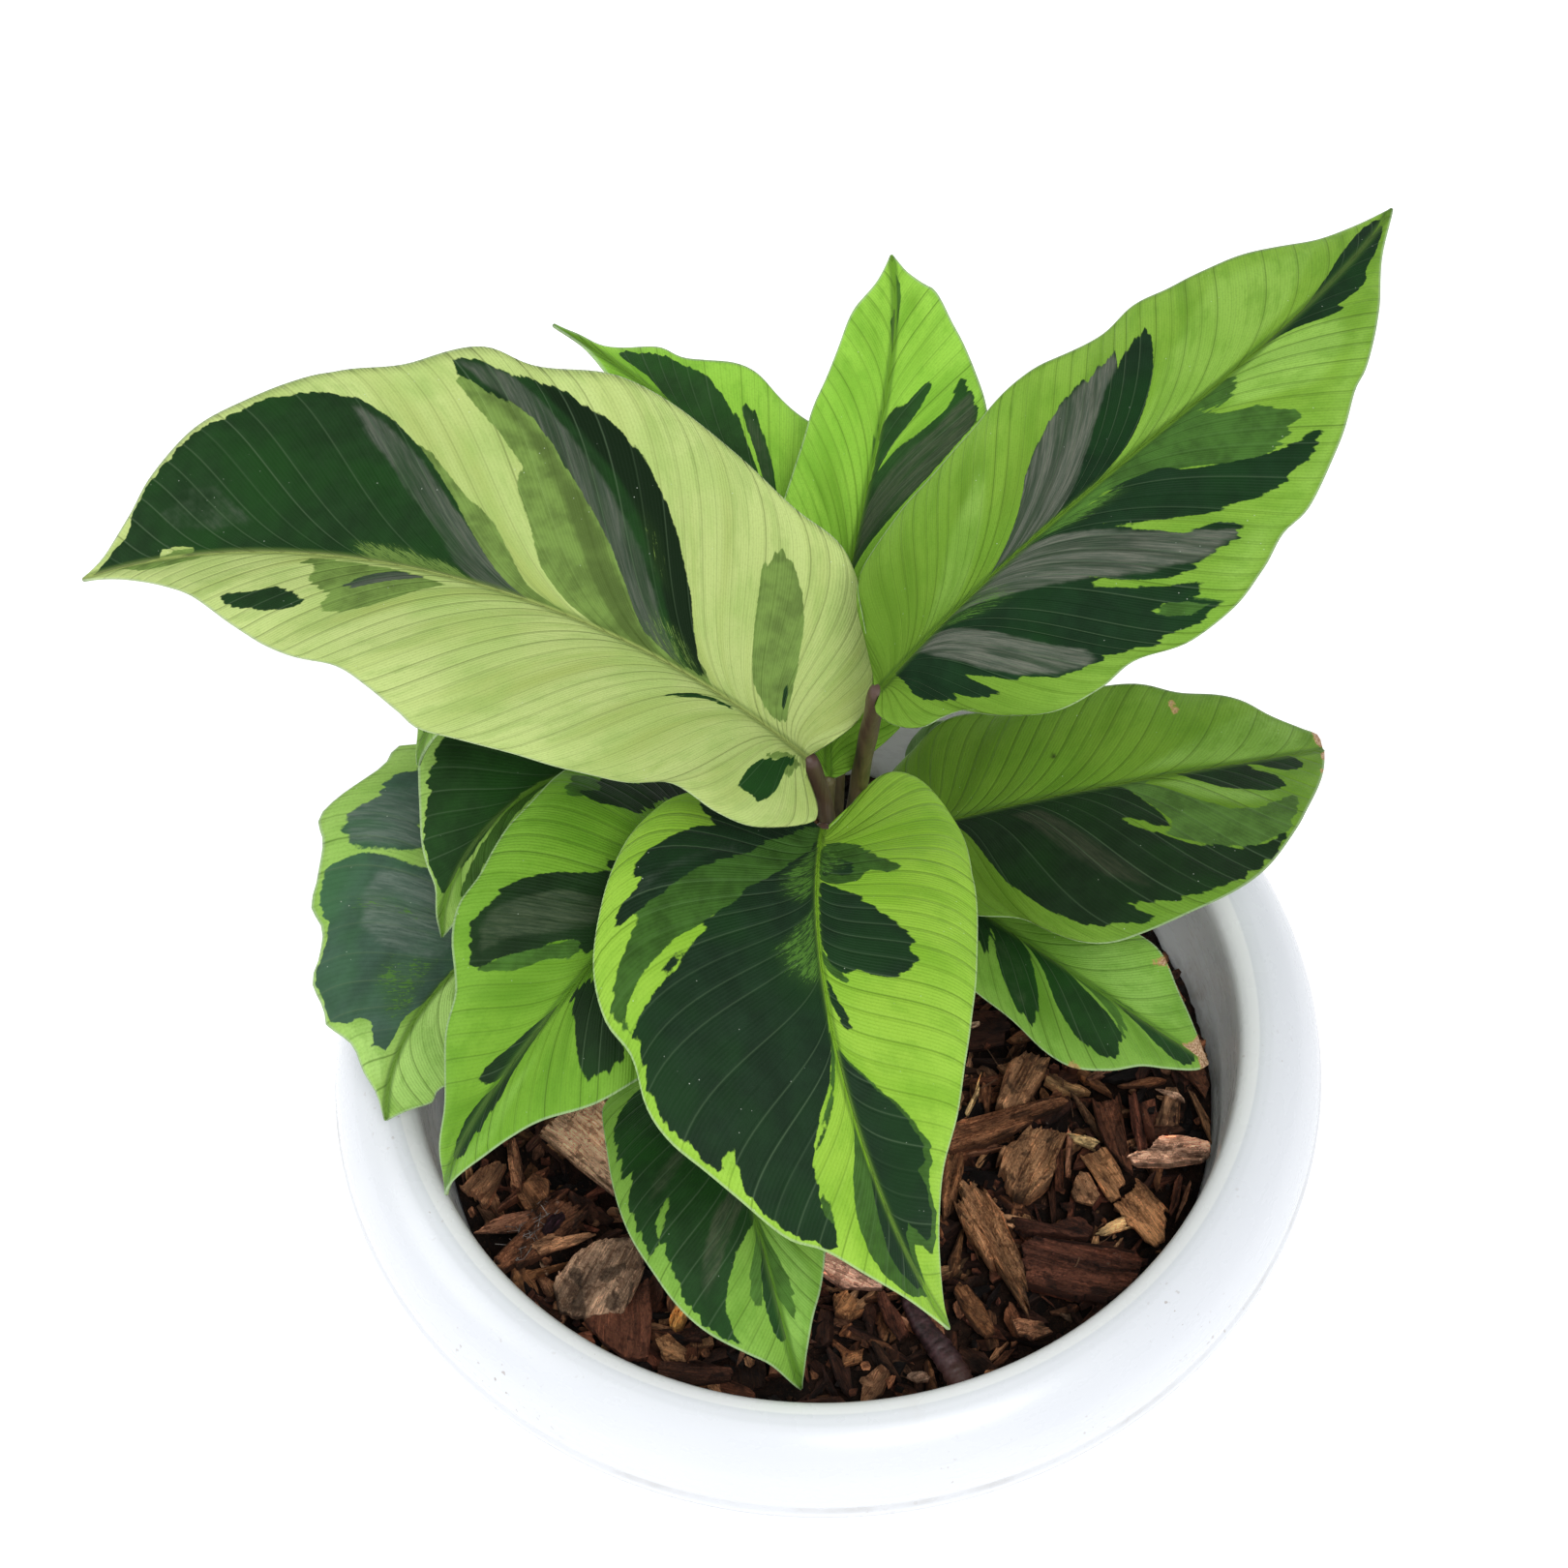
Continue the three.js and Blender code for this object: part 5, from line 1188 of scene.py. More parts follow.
def pot_material():
    n = Nodes("bowl_plastic")
    place = n.place()
    split = n.new("ShaderNodeSeparateXYZ")
    n.put(split.inputs[0], place)
    x, y, z = split.outputs
    soft = n.noise(place, 18.0, 3.0, 0.5)
    colour = n.mix(n.step(soft, 0.35, 0.65), (0.755, 0.778, 0.822), (0.775, 0.796, 0.836))
    radius = n.math("SQRT", n.math("ADD", n.math("MULTIPLY", x, x), n.math("MULTIPLY", y, y)))
    # A darker grey line, patchy, in the groove above the bottom band
    groove = n.math("SUBTRACT", 1.0,
                    n.step(n.math("ABSOLUTE", n.math("SUBTRACT", z, 0.0667)), 0.0002, 0.0012))
    outer = n.step(radius, 0.0885, 0.0895)
    patchy = n.step(n.noise(place, 35.0, 4.0, 0.65), 0.45, 0.65)
    colour = n.mix(n.math("MULTIPLY", n.math("MULTIPLY", groove, outer),
                          n.math("MULTIPLY_ADD", patchy, 0.35, 0.12)), colour,
                   (0.42, 0.40, 0.37))
    # Soil splashes: brown film on the inner wall, specks over the rim. The inner wall is told
    # from the outer one by the radius halfway through it, which grows with height
    wall_middle = n.math("MULTIPLY_ADD", z, 0.2067, 0.0620)
    within = n.math("SUBTRACT", 1.0, n.step(n.math("SUBTRACT", radius, wall_middle),
                                            -0.0002, 0.0002))
    inner = n.math("MULTIPLY", within, n.step(z, 0.0515, 0.0525))
    # Painted light: the inner wall above the soil is painted lighter than the outer one
    colour = n.mix(n.math("MULTIPLY", inner, 0.85), colour, (0.93, 0.94, 0.95))
    film = n.step(n.noise(n.stretched(place, (60.0, 60.0, 30.0)), 1.0, 5.0, 0.7), 0.50, 0.66)
    low = n.math("SUBTRACT", 1.0, n.step(z, 0.0545, 0.064))
    colour = n.mix(n.math("MULTIPLY", n.math("MULTIPLY", film, inner),
                          n.math("MULTIPLY", low, 0.38)), colour,
                   (0.30, 0.19, 0.11))
    specks = n.noise(place, 900.0, 1.0, 0.4)
    where = n.step(n.noise(place, 26.0, 3.0, 0.6), 0.53, 0.70)
    colour = n.mix(n.math("MULTIPLY", n.math("MULTIPLY", n.step(specks, 0.70, 0.74), where), 0.6),
                   colour, (0.25, 0.16, 0.10))
    smear = n.step(n.noise(n.stretched(place, (40.0, 14.0, 40.0)), 1.0, 4.0, 0.7), 0.60, 0.74)
    colour = n.mix(n.math("MULTIPLY", smear, 0.10), colour, (0.52, 0.44, 0.34))
    n.put(n.bsdf.inputs["Base Color"], colour)
    scuff = n.noise(n.stretched(place, (140.0, 140.0, 500.0)), 1.0, 3.0, 0.6)
    n.put(n.bsdf.inputs["Roughness"], n.math("MULTIPLY_ADD", scuff, 0.16, 0.20))
    n.bsdf.inputs["Specular IOR Level"].default_value = 0.5
    n.put(n.bsdf.inputs["Normal"], n.bump(soft, 0.0006, 0.15))
    return n.material


finish_piece(pot_piece(), pot_material(), "pot", "pot")


# Mulch: a dark crumbly bed, near-black as painted shade in the gaps, then bark of every size on it

SOIL_TOP = 53.0
SOIL_RADIUS = 71.2
SOIL_FOOT = 5.4


def bed_height(x, y):
    """Height of the bed from the solid's top, in mm."""
    swell = (1.1 * np.sin(x * 0.11 + 1.0) * np.cos(y * 0.09)
             + 0.8 * np.sin(x * 0.23 + y * 0.19) + 0.6 * np.cos(y * 0.31 - x * 0.17))
    return swell - 0.6


def soil_piece():
    rings, turns = 92, 230
    radii = SOIL_RADIUS * (np.linspace(0, 1, rings) ** 0.8)
    angle = np.linspace(0, 2 * math.pi, turns, endpoint=False)
    r, a = np.meshgrid(radii, angle, indexing="ij")
    x, y = r * np.cos(a), r * np.sin(a)
    crumb = rng.normal(0, 0.45, x.shape)
    z = SOIL_TOP + bed_height(x, y) + crumb
    z[0, :] = z[0, 0]
    vertices = np.stack([x, y, z], -1).reshape(-1, 3)[turns - 1:].tolist()
    ring = [[0] * turns] + [
        [1 + (i - 1) * turns + j for j in range(turns)] for i in range(1, rings)]
    faces = [(0, ring[1][j], ring[1][(j + 1) % turns]) for j in range(turns)]
    walls = [(69.5, 46.4), (65.0, 33.4), (58.4, 19), (49.9, SOIL_FOOT)]
    for radius, level in walls:
        ring.append(list(range(len(vertices), len(vertices) + turns)))
        vertices += [(radius * math.cos(t), radius * math.sin(t), level) for t in angle]
    for inner, outer in zip(ring[1:-1], ring[2:]):
        for j in range(turns):
            k = (j + 1) % turns
            faces.append((inner[j], outer[j], outer[k], inner[k]))
    vertices.append((0, 0, SOIL_FOOT))
    faces += [(ring[-1][j], len(vertices) - 1, ring[-1][(j + 1) % turns]) for j in range(turns)]
    return make_mesh("mulch_bed", vertices, faces)


def soil_material():
    n = Nodes("mulch_dark_and_gap_shade")
    place = n.place()
    coarse = n.noise(place, 260.0, 4.0, 0.65)
    fine = n.noise(place, 1300.0, 3.0, 0.7)
    # Near-black: dark soil, and painted shade in the gaps between the chips
    colour = n.mix(n.step(coarse, 0.35, 0.68), (0.004, 0.002, 0.001), (0.026, 0.011, 0.006))
    colour = n.mix(n.step(fine, 0.60, 0.70), colour, (0.075, 0.034, 0.018))
    n.put(n.bsdf.inputs["Base Color"], colour)
    n.put(n.bsdf.inputs["Roughness"], n.math("MULTIPLY_ADD", fine, 0.25, 0.70))
    n.bsdf.inputs["Specular IOR Level"].default_value = 0.2
    n.put(n.bsdf.inputs["Normal"], n.bump(fine, 0.0008, 1.0))
    return n.material


finish_piece(soil_piece(), soil_material(), "soil", "soil")

BARK_TONES = {
    "black": (0.012, 0.006, 0.005),
    "dark": (0.070, 0.027, 0.015),
    "red": (0.165, 0.058, 0.030),
    "brown": (0.270, 0.115, 0.052),
    "umber": (0.410, 0.205, 0.105),
    "tan": (0.640, 0.345, 0.170),
    "pink": (0.860, 0.555, 0.365),
    "sand": (0.540, 0.270, 0.118),
    "husk": (0.900, 0.440, 0.125),
    "straw": (0.860, 0.590, 0.300),
    "plum": (0.040, 0.018, 0.024),
    "ash": (0.600, 0.390, 0.260),
}


def wavy(u, v, along, across, terms=6):
    """Smooth noise about zero, with its own scale along and across the grain."""
    total = 0 * (u + v)
    for _ in range(terms):
        total = total + np.sin(u * rng.uniform(0.3, 1) * along
                               + v * rng.uniform(-1, 1) * across + rng.uniform(*ANY_PHASE))
    return total / math.sqrt(terms)


def steps(count, longest):
    """Random steps, each one to longest places long."""
    return np.repeat(rng.normal(0, 1, count), rng.integers(1, longest + 1, count))[:count]


def lane_spans(outline, lanes):
    """Where each lane of fibres enters and leaves an outline."""
    low, high = np.full(len(lanes), np.inf), np.full(len(lanes), -np.inf)
    for (ax, ay), (bx, by) in zip(outline, np.roll(outline, -1, 0)):
        hit = (ay > lanes) != (by > lanes)
        x = ax + (lanes - ay) * (bx - ax) / (by - ay if by != ay else 1.0)
        low = np.where(hit, np.minimum(low, x), low)
        high = np.where(hit, np.maximum(high, x), high)
    return low, high


def bark_piece(outline, thick, nx, ny, tone, rough=1.0, layers=3, curl=0.2, spots=0.3,
               rim=0.0):
    """A torn piece: grain along x, ends broken by bundle of fibre, faces flaked in layers."""
    outline = np.asarray(outline, float)
    (x0, y0), (x1, y1) = outline.min(0), outline.max(0)
    length, width = x1 - x0, y1 - y0
    b = np.linspace(-1, 1, ny)
    lanes = (y0 + y1) / 2 + b * width * 0.49
    low, high = lane_spans(outline, lanes)
    fray = 0.022 * length * rough
    low, high = low + fray * steps(ny, 3), high + fray * steps(ny, 3)
    high = np.maximum(high, low + 0.12 * length)
    u, v = np.meshgrid(np.linspace(-1, 1, nx), b, indexing="ij")
    x = low + (high - low) * (u + 1) / 2
    y = lanes + 0.018 * width * rough * wavy(u, v, 8.0, 2.0)
    flake = wavy(x / length * 3, v, 2.6, 6.0)
    level = np.round(flake * layers) / layers
    lane = rng.normal(0, 1, ny)[None, :]
    bend = (curl * width * 0.22 * v**2 + rng.uniform(-0.05, 0.05) * length * u**2
            + rng.uniform(-0.06, 0.06) * length * u * v)
    grit = rng.normal(0, 1, u.shape)
    splinter = np.clip((np.abs(u) - 0.8) * 5, 0, 1) * np.abs(rng.normal(0, 0.5, ny))[None, :]
    raised = rim * np.clip((np.abs(v) - 0.72) * 4, 0, 1)
    top = bend + thick * (0.42 + 0.22 * level + 0.05 * lane + 0.03 * grit
                          - 0.35 * splinter + raised)
    bottom = bend - thick * (0.5 + 0.05 * np.roll(grit, 1, 0))
    top = np.maximum(top, bottom + 0.2 * thick)
    count = nx * ny
    vertices = np.concatenate([np.stack([x, y, top], -1).reshape(-1, 3),
                               np.stack([x, y, bottom], -1).reshape(-1, 3)])
    grid = np.arange(count).reshape(nx, ny)
    p, q = grid[:-1, :-1].ravel(), grid[1:, :-1].ravel()
    r, s = grid[1:, 1:].ravel(), grid[:-1, 1:].ravel()
    faces = np.concatenate([np.stack([p, q, r, s], 1), np.stack([p, s, r, q], 1) + count])
    edge = np.concatenate([grid[:-1, 0], grid[-1, :-1], grid[:0:-1, -1], grid[0, :0:-1]])
    ahead = np.roll(edge, -1)
    faces = np.concatenate([faces, np.stack([edge, edge + count, ahead + count, ahead], 1)])
    uv = np.stack([x, y], -1).reshape(-1, 2)
    uv = np.concatenate([uv, uv + 31.0]) * UV_PER_MM + rng.uniform(0, 60, 2)
    # Higher flake layers lighter and lower ones darker as painted shade in the steps, with random tone by
    # lane and grit
    shade = 1.0 + 0.42 * level + 0.13 * lane + 0.07 * grit
    shade = np.clip(shade, 0.3, 1.9)
    shade = np.where(wavy(u, v, 9.0, 9.0) > 1.5 - spots, shade * 0.40, shade)
    worn = np.maximum(np.abs(u), np.abs(v)) > 0.93
    shade = np.where(worn, shade * rng.uniform(0.75, 1.35), shade)
    tint = np.array(BARK_TONES[tone]) * rng.uniform(0.85, 1.2) * rng.uniform(0.94, 1.06, 3)
    upper = tint[None, :] * shade.reshape(-1, 1)
    # The underside is a darker copy of the top: painted shade
    return vertices, faces, uv, np.concatenate([upper, upper * (0.62, 0.50, 0.45)])


def torn_outline(length, width):
    """A random angular outline, longer along the grain."""
    a, b, c, d = rng.uniform(0.02, 0.32, 4) * length
    e, f, g, h = rng.uniform(0.35, 1.0, 4) * width / 2
    m, k = rng.uniform(-0.5, 0.5, 2) * width
    half_long, half_wide = length / 2, width / 2
    return [(-half_long, m), (a - half_long, e), (rng.uniform(-0.2, 0.2) * length, half_wide),
            (half_long - b, f), (half_long, k), (half_long - c, -g),
            (rng.uniform(-0.2, 0.2) * length, -half_wide), (d - half_long, -h)]


def turned(vertices, heading, tilt_x=0.0, tilt_y=0.0):
    """Vertices tipped about x and y, then turned about z, in degrees."""
    ch, sh = math.cos(math.radians(heading)), math.sin(math.radians(heading))
    cx, sx = math.cos(math.radians(tilt_x)), math.sin(math.radians(tilt_x))
    cy, sy = math.cos(math.radians(tilt_y)), math.sin(math.radians(tilt_y))
    v = vertices @ np.array([[1, 0, 0], [0, cx, sx], [0, -sx, cx]])
    v = v @ np.array([[cy, 0, -sy], [0, 1, 0], [sy, 0, cy]])
    return v @ np.array([[ch, sh, 0], [-sh, ch, 0], [0, 0, 1]])


def bark_material():
    n = Nodes("bark_chips")
    grain_uv, _, _ = n.uv("Grain")
    tone = n.attribute("ToneAndShade").outputs["Color"]
    place = n.place()
    fibre = n.noise(n.stretched(grain_uv, (2.2, 24.0, 1.0)), 1.0, 4.0, 0.7)
    fine = n.noise(n.stretched(grain_uv, (7.0, 80.0, 1.0)), 1.0, 3.0, 0.65)
    blotch = n.noise(n.stretched(grain_uv, (4.0, 7.0, 1.0)), 1.0, 3.0, 0.7)
    stain = n.noise(place, 170.0, 4.0, 0.65)
    streak = n.noise(n.stretched(grain_uv, (1.1, 9.0, 1.0)), 1.0, 4.0, 0.7)
    patch = n.noise(place, 400.0, 3.0, 0.7)
    darker = n.mix(1.0, tone, (0.36, 0.29, 0.26), blend="MULTIPLY")
    lighter = n.mix(1.0, tone, (2.1, 2.0, 1.95), blend="MULTIPLY")
    deepest = n.mix(1.0, tone, (0.10, 0.08, 0.07), blend="MULTIPLY")
    darkish = n.mix(1.0, tone, (0.46, 0.38, 0.34), blend="MULTIPLY")
    colour = n.mix(n.step(streak, 0.36, 0.54), darkish, tone)
    colour = n.mix(n.math("MULTIPLY", n.step(fibre, 0.54, 0.63), 0.72), colour, lighter)
    colour = n.mix(n.math("MULTIPLY", n.step(fine, 0.54, 0.64), 0.50), colour, lighter)
    colour = n.mix(n.math("MULTIPLY", n.step(blotch, 0.56, 0.66), 0.6), colour, darker)
    colour = n.mix(n.math("MULTIPLY", n.step(patch, 0.55, 0.60), 0.70), colour, darker)
    colour = n.mix(n.math("MULTIPLY", n.step(stain, 0.64, 0.72), 0.8), colour, deepest)
    crack = n.math("SUBTRACT", 1.0, n.step(n.math("ABSOLUTE", n.math("SUBTRACT", streak, 0.5)),
                                           0.0, 0.014))
    colour = n.mix(n.math("MULTIPLY", crack, 0.75), colour, deepest)
    mould = n.step(n.noise(place, 520.0, 4.0, 0.7), 0.66, 0.74)
    colour = n.mix(n.math("MULTIPLY", mould, 0.30), colour, (0.52, 0.42, 0.34))
    n.put(n.bsdf.inputs["Base Color"], colour)
    n.put(n.bsdf.inputs["Roughness"], n.math("MULTIPLY_ADD", fine, 0.35, 0.48))
    n.bsdf.inputs["Specular IOR Level"].default_value = 0.3
    height = n.math("MULTIPLY_ADD", fine, 0.5, fibre)
    height = n.math("MULTIPLY_ADD", blotch, -0.6, height)
    n.put(n.bsdf.inputs["Normal"], n.bump(height, 0.0009, 1.0))
    return n.material


bark_skin = bark_material()


def bark_object(name, parts, *nodes, slot="bark"):
    """Joins (vertices, faces, uv, tones) parts into one piece."""
    starts = np.cumsum([0] + [len(part[0]) for part in parts])
    faces = np.concatenate([part[1] + start for part, start in zip(parts, starts)]).tolist()
    obj = make_mesh(name, np.concatenate([part[0] for part in parts]), faces, smooth=False)
    set_uv(obj.data, "Grain", np.concatenate([part[2] for part in parts]))
    set_colour(obj.data, "ToneAndShade", np.concatenate([part[3] for part in parts]))
    finish_piece(obj, bark_skin, slot, *nodes)


# Larger pieces on top, each by its outline on the bed in mm, seen from above:
# tone, grain heading, lift, thickness, tips about the grain and across it, shape, outline
HERO_BARK = {
    "bark_left_tan": ("pink", -48, 5.4, 1.8, 6, -3, dict(rough=0.25, layers=1, spots=0.05), [
        (-54.2, -7.8), (-50, -4), (-45, 1), (-38, -4), (-36, -20), (-40.5, -22.3), (-44, -18.8),
        (-49, -13.6)]),
    "bark_left_small": ("umber", 60, 4.4, 1.4, -10, 8, dict(rough=0.5, curl=0.5, spots=0.1), [
        (-68.3, -19.2), (-65, -14.6), (-61, -13), (-59.8, -14.6), (-61.5, -20), (-63.6, -24),
        (-65.6, -21)]),
    "bark_left_shredded": ("brown", 38, 5.2, 3.0, 8, -5, dict(rough=2.2, layers=4, spots=0.7), [
        (-61.5, -34), (-60, -37), (-53, -33), (-46.5, -29), (-45.2, -25.5), (-48, -23.3),
        (-53, -23.2), (-57, -29)]),
    "bark_front_left_mottled": ("ash", 63, 5.2, 1.7, 4, 6,
                                dict(rough=0.5, layers=2, spots=1.0, curl=0.1), [
        (-51.6, -40), (-50, -38.4), (-47, -33.2), (-42, -30.6), (-35.4, -29.6), (-35, -36.5),
        (-39, -46.2), (-46, -46.6), (-50.5, -45.4)]),
    "bark_front_strip": ("pink", -30, 5.0, 1.8, 5, 2, dict(rough=0.4, layers=1, spots=0.1), [
        (-9, -36), (-4, -32.5), (2, -34.5), (8.6, -42), (7, -43.9), (0, -43.2)]),
    "bark_front_bit": ("sand", 60, 5.2, 1.5, 10, 8, dict(rough=0.8, layers=1, spots=0.0), [
        (-1.5, -45.5), (1, -44.4), (2.7, -46), (2.5, -48), (3.6, -48.6), (1.6, -49.8),
        (-1.2, -48.8)]),
    "bark_front_oval": ("brown", -58, 4.8, 1.3, -6, 0,
                        dict(rough=0.1, layers=1, curl=-0.9, spots=0.0, rim=0.5), [
        (20.3, -45.4), (21.2, -43.7), (22.8, -44.3), (25, -47.5), (26.8, -52), (27, -54),
        (25.6, -54.7), (23.8, -52.8), (22, -49.5)]),
    "bark_front_long": ("umber", -68, 5.8, 4.4, 8, -3, dict(rough=1.2, layers=5, spots=0.6), [
        (23.4, -23.4), (27.4, -26), (28.5, -28.5), (30, -31), (31.3, -34.6), (32.2, -38.5),
        (33.3, -41), (33.6, -45), (33.2, -51.6), (31.5, -48), (30.5, -46), (29.2, -41.6),
        (27, -40.5), (25.4, -38.5), (23.2, -34), (22.2, -29)]),
    "bark_front_slab": ("red", -16, 4.4, 2.6, -3, 3, dict(rough=0.6, layers=3, spots=0.5), [
        (32.8, -37.5), (36, -36.2), (41, -38), (48, -39.4), (55, -41), (51.5, -47), (46.8, -49.2),
        (43, -48.5), (38, -46.8), (33.4, -45.4)]),
    "bark_right_strip": ("brown", 18, 5.0, 3.2, 10, 3, dict(rough=0.8, layers=4, spots=0.4), [
        (19, -16), (21, -12.8), (30, -10.8), (34, -10.3), (37, -8), (40.5, -7), (43.6, -8),
        (41.5, -9.6), (38, -10.6), (36.4, -12), (33, -14), (28, -16), (22, -17.6)]),
    "bark_right_block": ("umber", 62, 5.4, 3.6, 6, 9,
                         dict(rough=0.9, layers=3, curl=0.7, spots=0.4, rim=0.3), [
        (29.8, -20.4), (32, -18), (34, -16), (36, -12.5), (41.5, -13.4), (42.6, -16),
        (40.2, -18.5), (40, -21), (39.6, -24), (38, -26), (35, -28.6), (33.8, -28),
        (31.5, -25.5), (30, -22.6)]),
    "bark_right_red": ("red", -78, 5.9, 2.0, 3, 5,
                       dict(rough=0.25, layers=1, curl=0.1, spots=0.5, rim=0.55), [
        (48.3, -8), (49.6, -9), (52.4, -8.8), (53.4, -7.8), (53.9, -15), (54.6, -23.4),
        (52.8, -21.8), (50, -17.5), (48.9, -14)]),
    "bark_right_stick": ("pink", -3, 5.2, 2.2, 0, -4, dict(rough=0.3, layers=1, spots=0.0), [
        (53.5, -20.6), (58, -18.6), (60.5, -17), (64, -17.3), (69, -19), (68.8, -21),
        (67.5, -22.3), (62, -22.5), (55.5, -22)]),
    "bark_right_cracked_a": ("sand", -58, 6.0, 0.9, 8, 4, dict(rough=0.5, layers=1, spots=0.1), [
        (45.2, -20), (47.5, -19.5), (50, -18.8), (51.5, -21.5), (52.3, -23.5), (52.9, -26),
        (51.5, -27), (51.8, -28.5), (50, -29.6), (48.8, -27.5), (47.2, -23.8), (46, -21.5)]),
    "bark_right_cracked_b": ("sand", -64, 5.4, 0.9, 4, -6, dict(rough=0.6, layers=1, spots=0.3), [
        (50.4, -29.6), (52.5, -28.2), (54.6, -26.2), (55, -24.4), (57, -26.5), (58.5, -29.5),
        (59.8, -31.5), (58.8, -32.7), (59.6, -33.6), (58.9, -38), (57, -39.1), (55.2, -37.6),
        (54.2, -35.2), (52.5, -34), (51.8, -31.5)]),
    "bark_right_edge": ("brown", -8, 5.6, 2.2, 8, 3, dict(rough=0.2, layers=1, curl=-0.6), [
        (61.5, 4.4), (64, 6), (68, 5.6), (70.6, 3.6), (70.2, 1.6), (66, 0.6), (62, 1.6)]),
}

# Hidden behind the leaves: centre x, y, heading, length, width, thickness, tone
BACK_LIFT = 4.6
BACK_BARK = {
    "bark_back_bit": (12, 60, 10, 9, 5.5, 2.4, "sand"),
    "bark_back_right": (42, 42, -40, 19, 9, 3.0, "red"),
    "bark_back_centre": (-12, 48, 15, 20, 8.5, 3.0, "brown"),
    "bark_back_left": (-38, 44, 62, 17, 10, 2.6, "tan"),
    "bark_far_left": (-58, 14, 78, 21, 9, 3.0, "umber"),
}

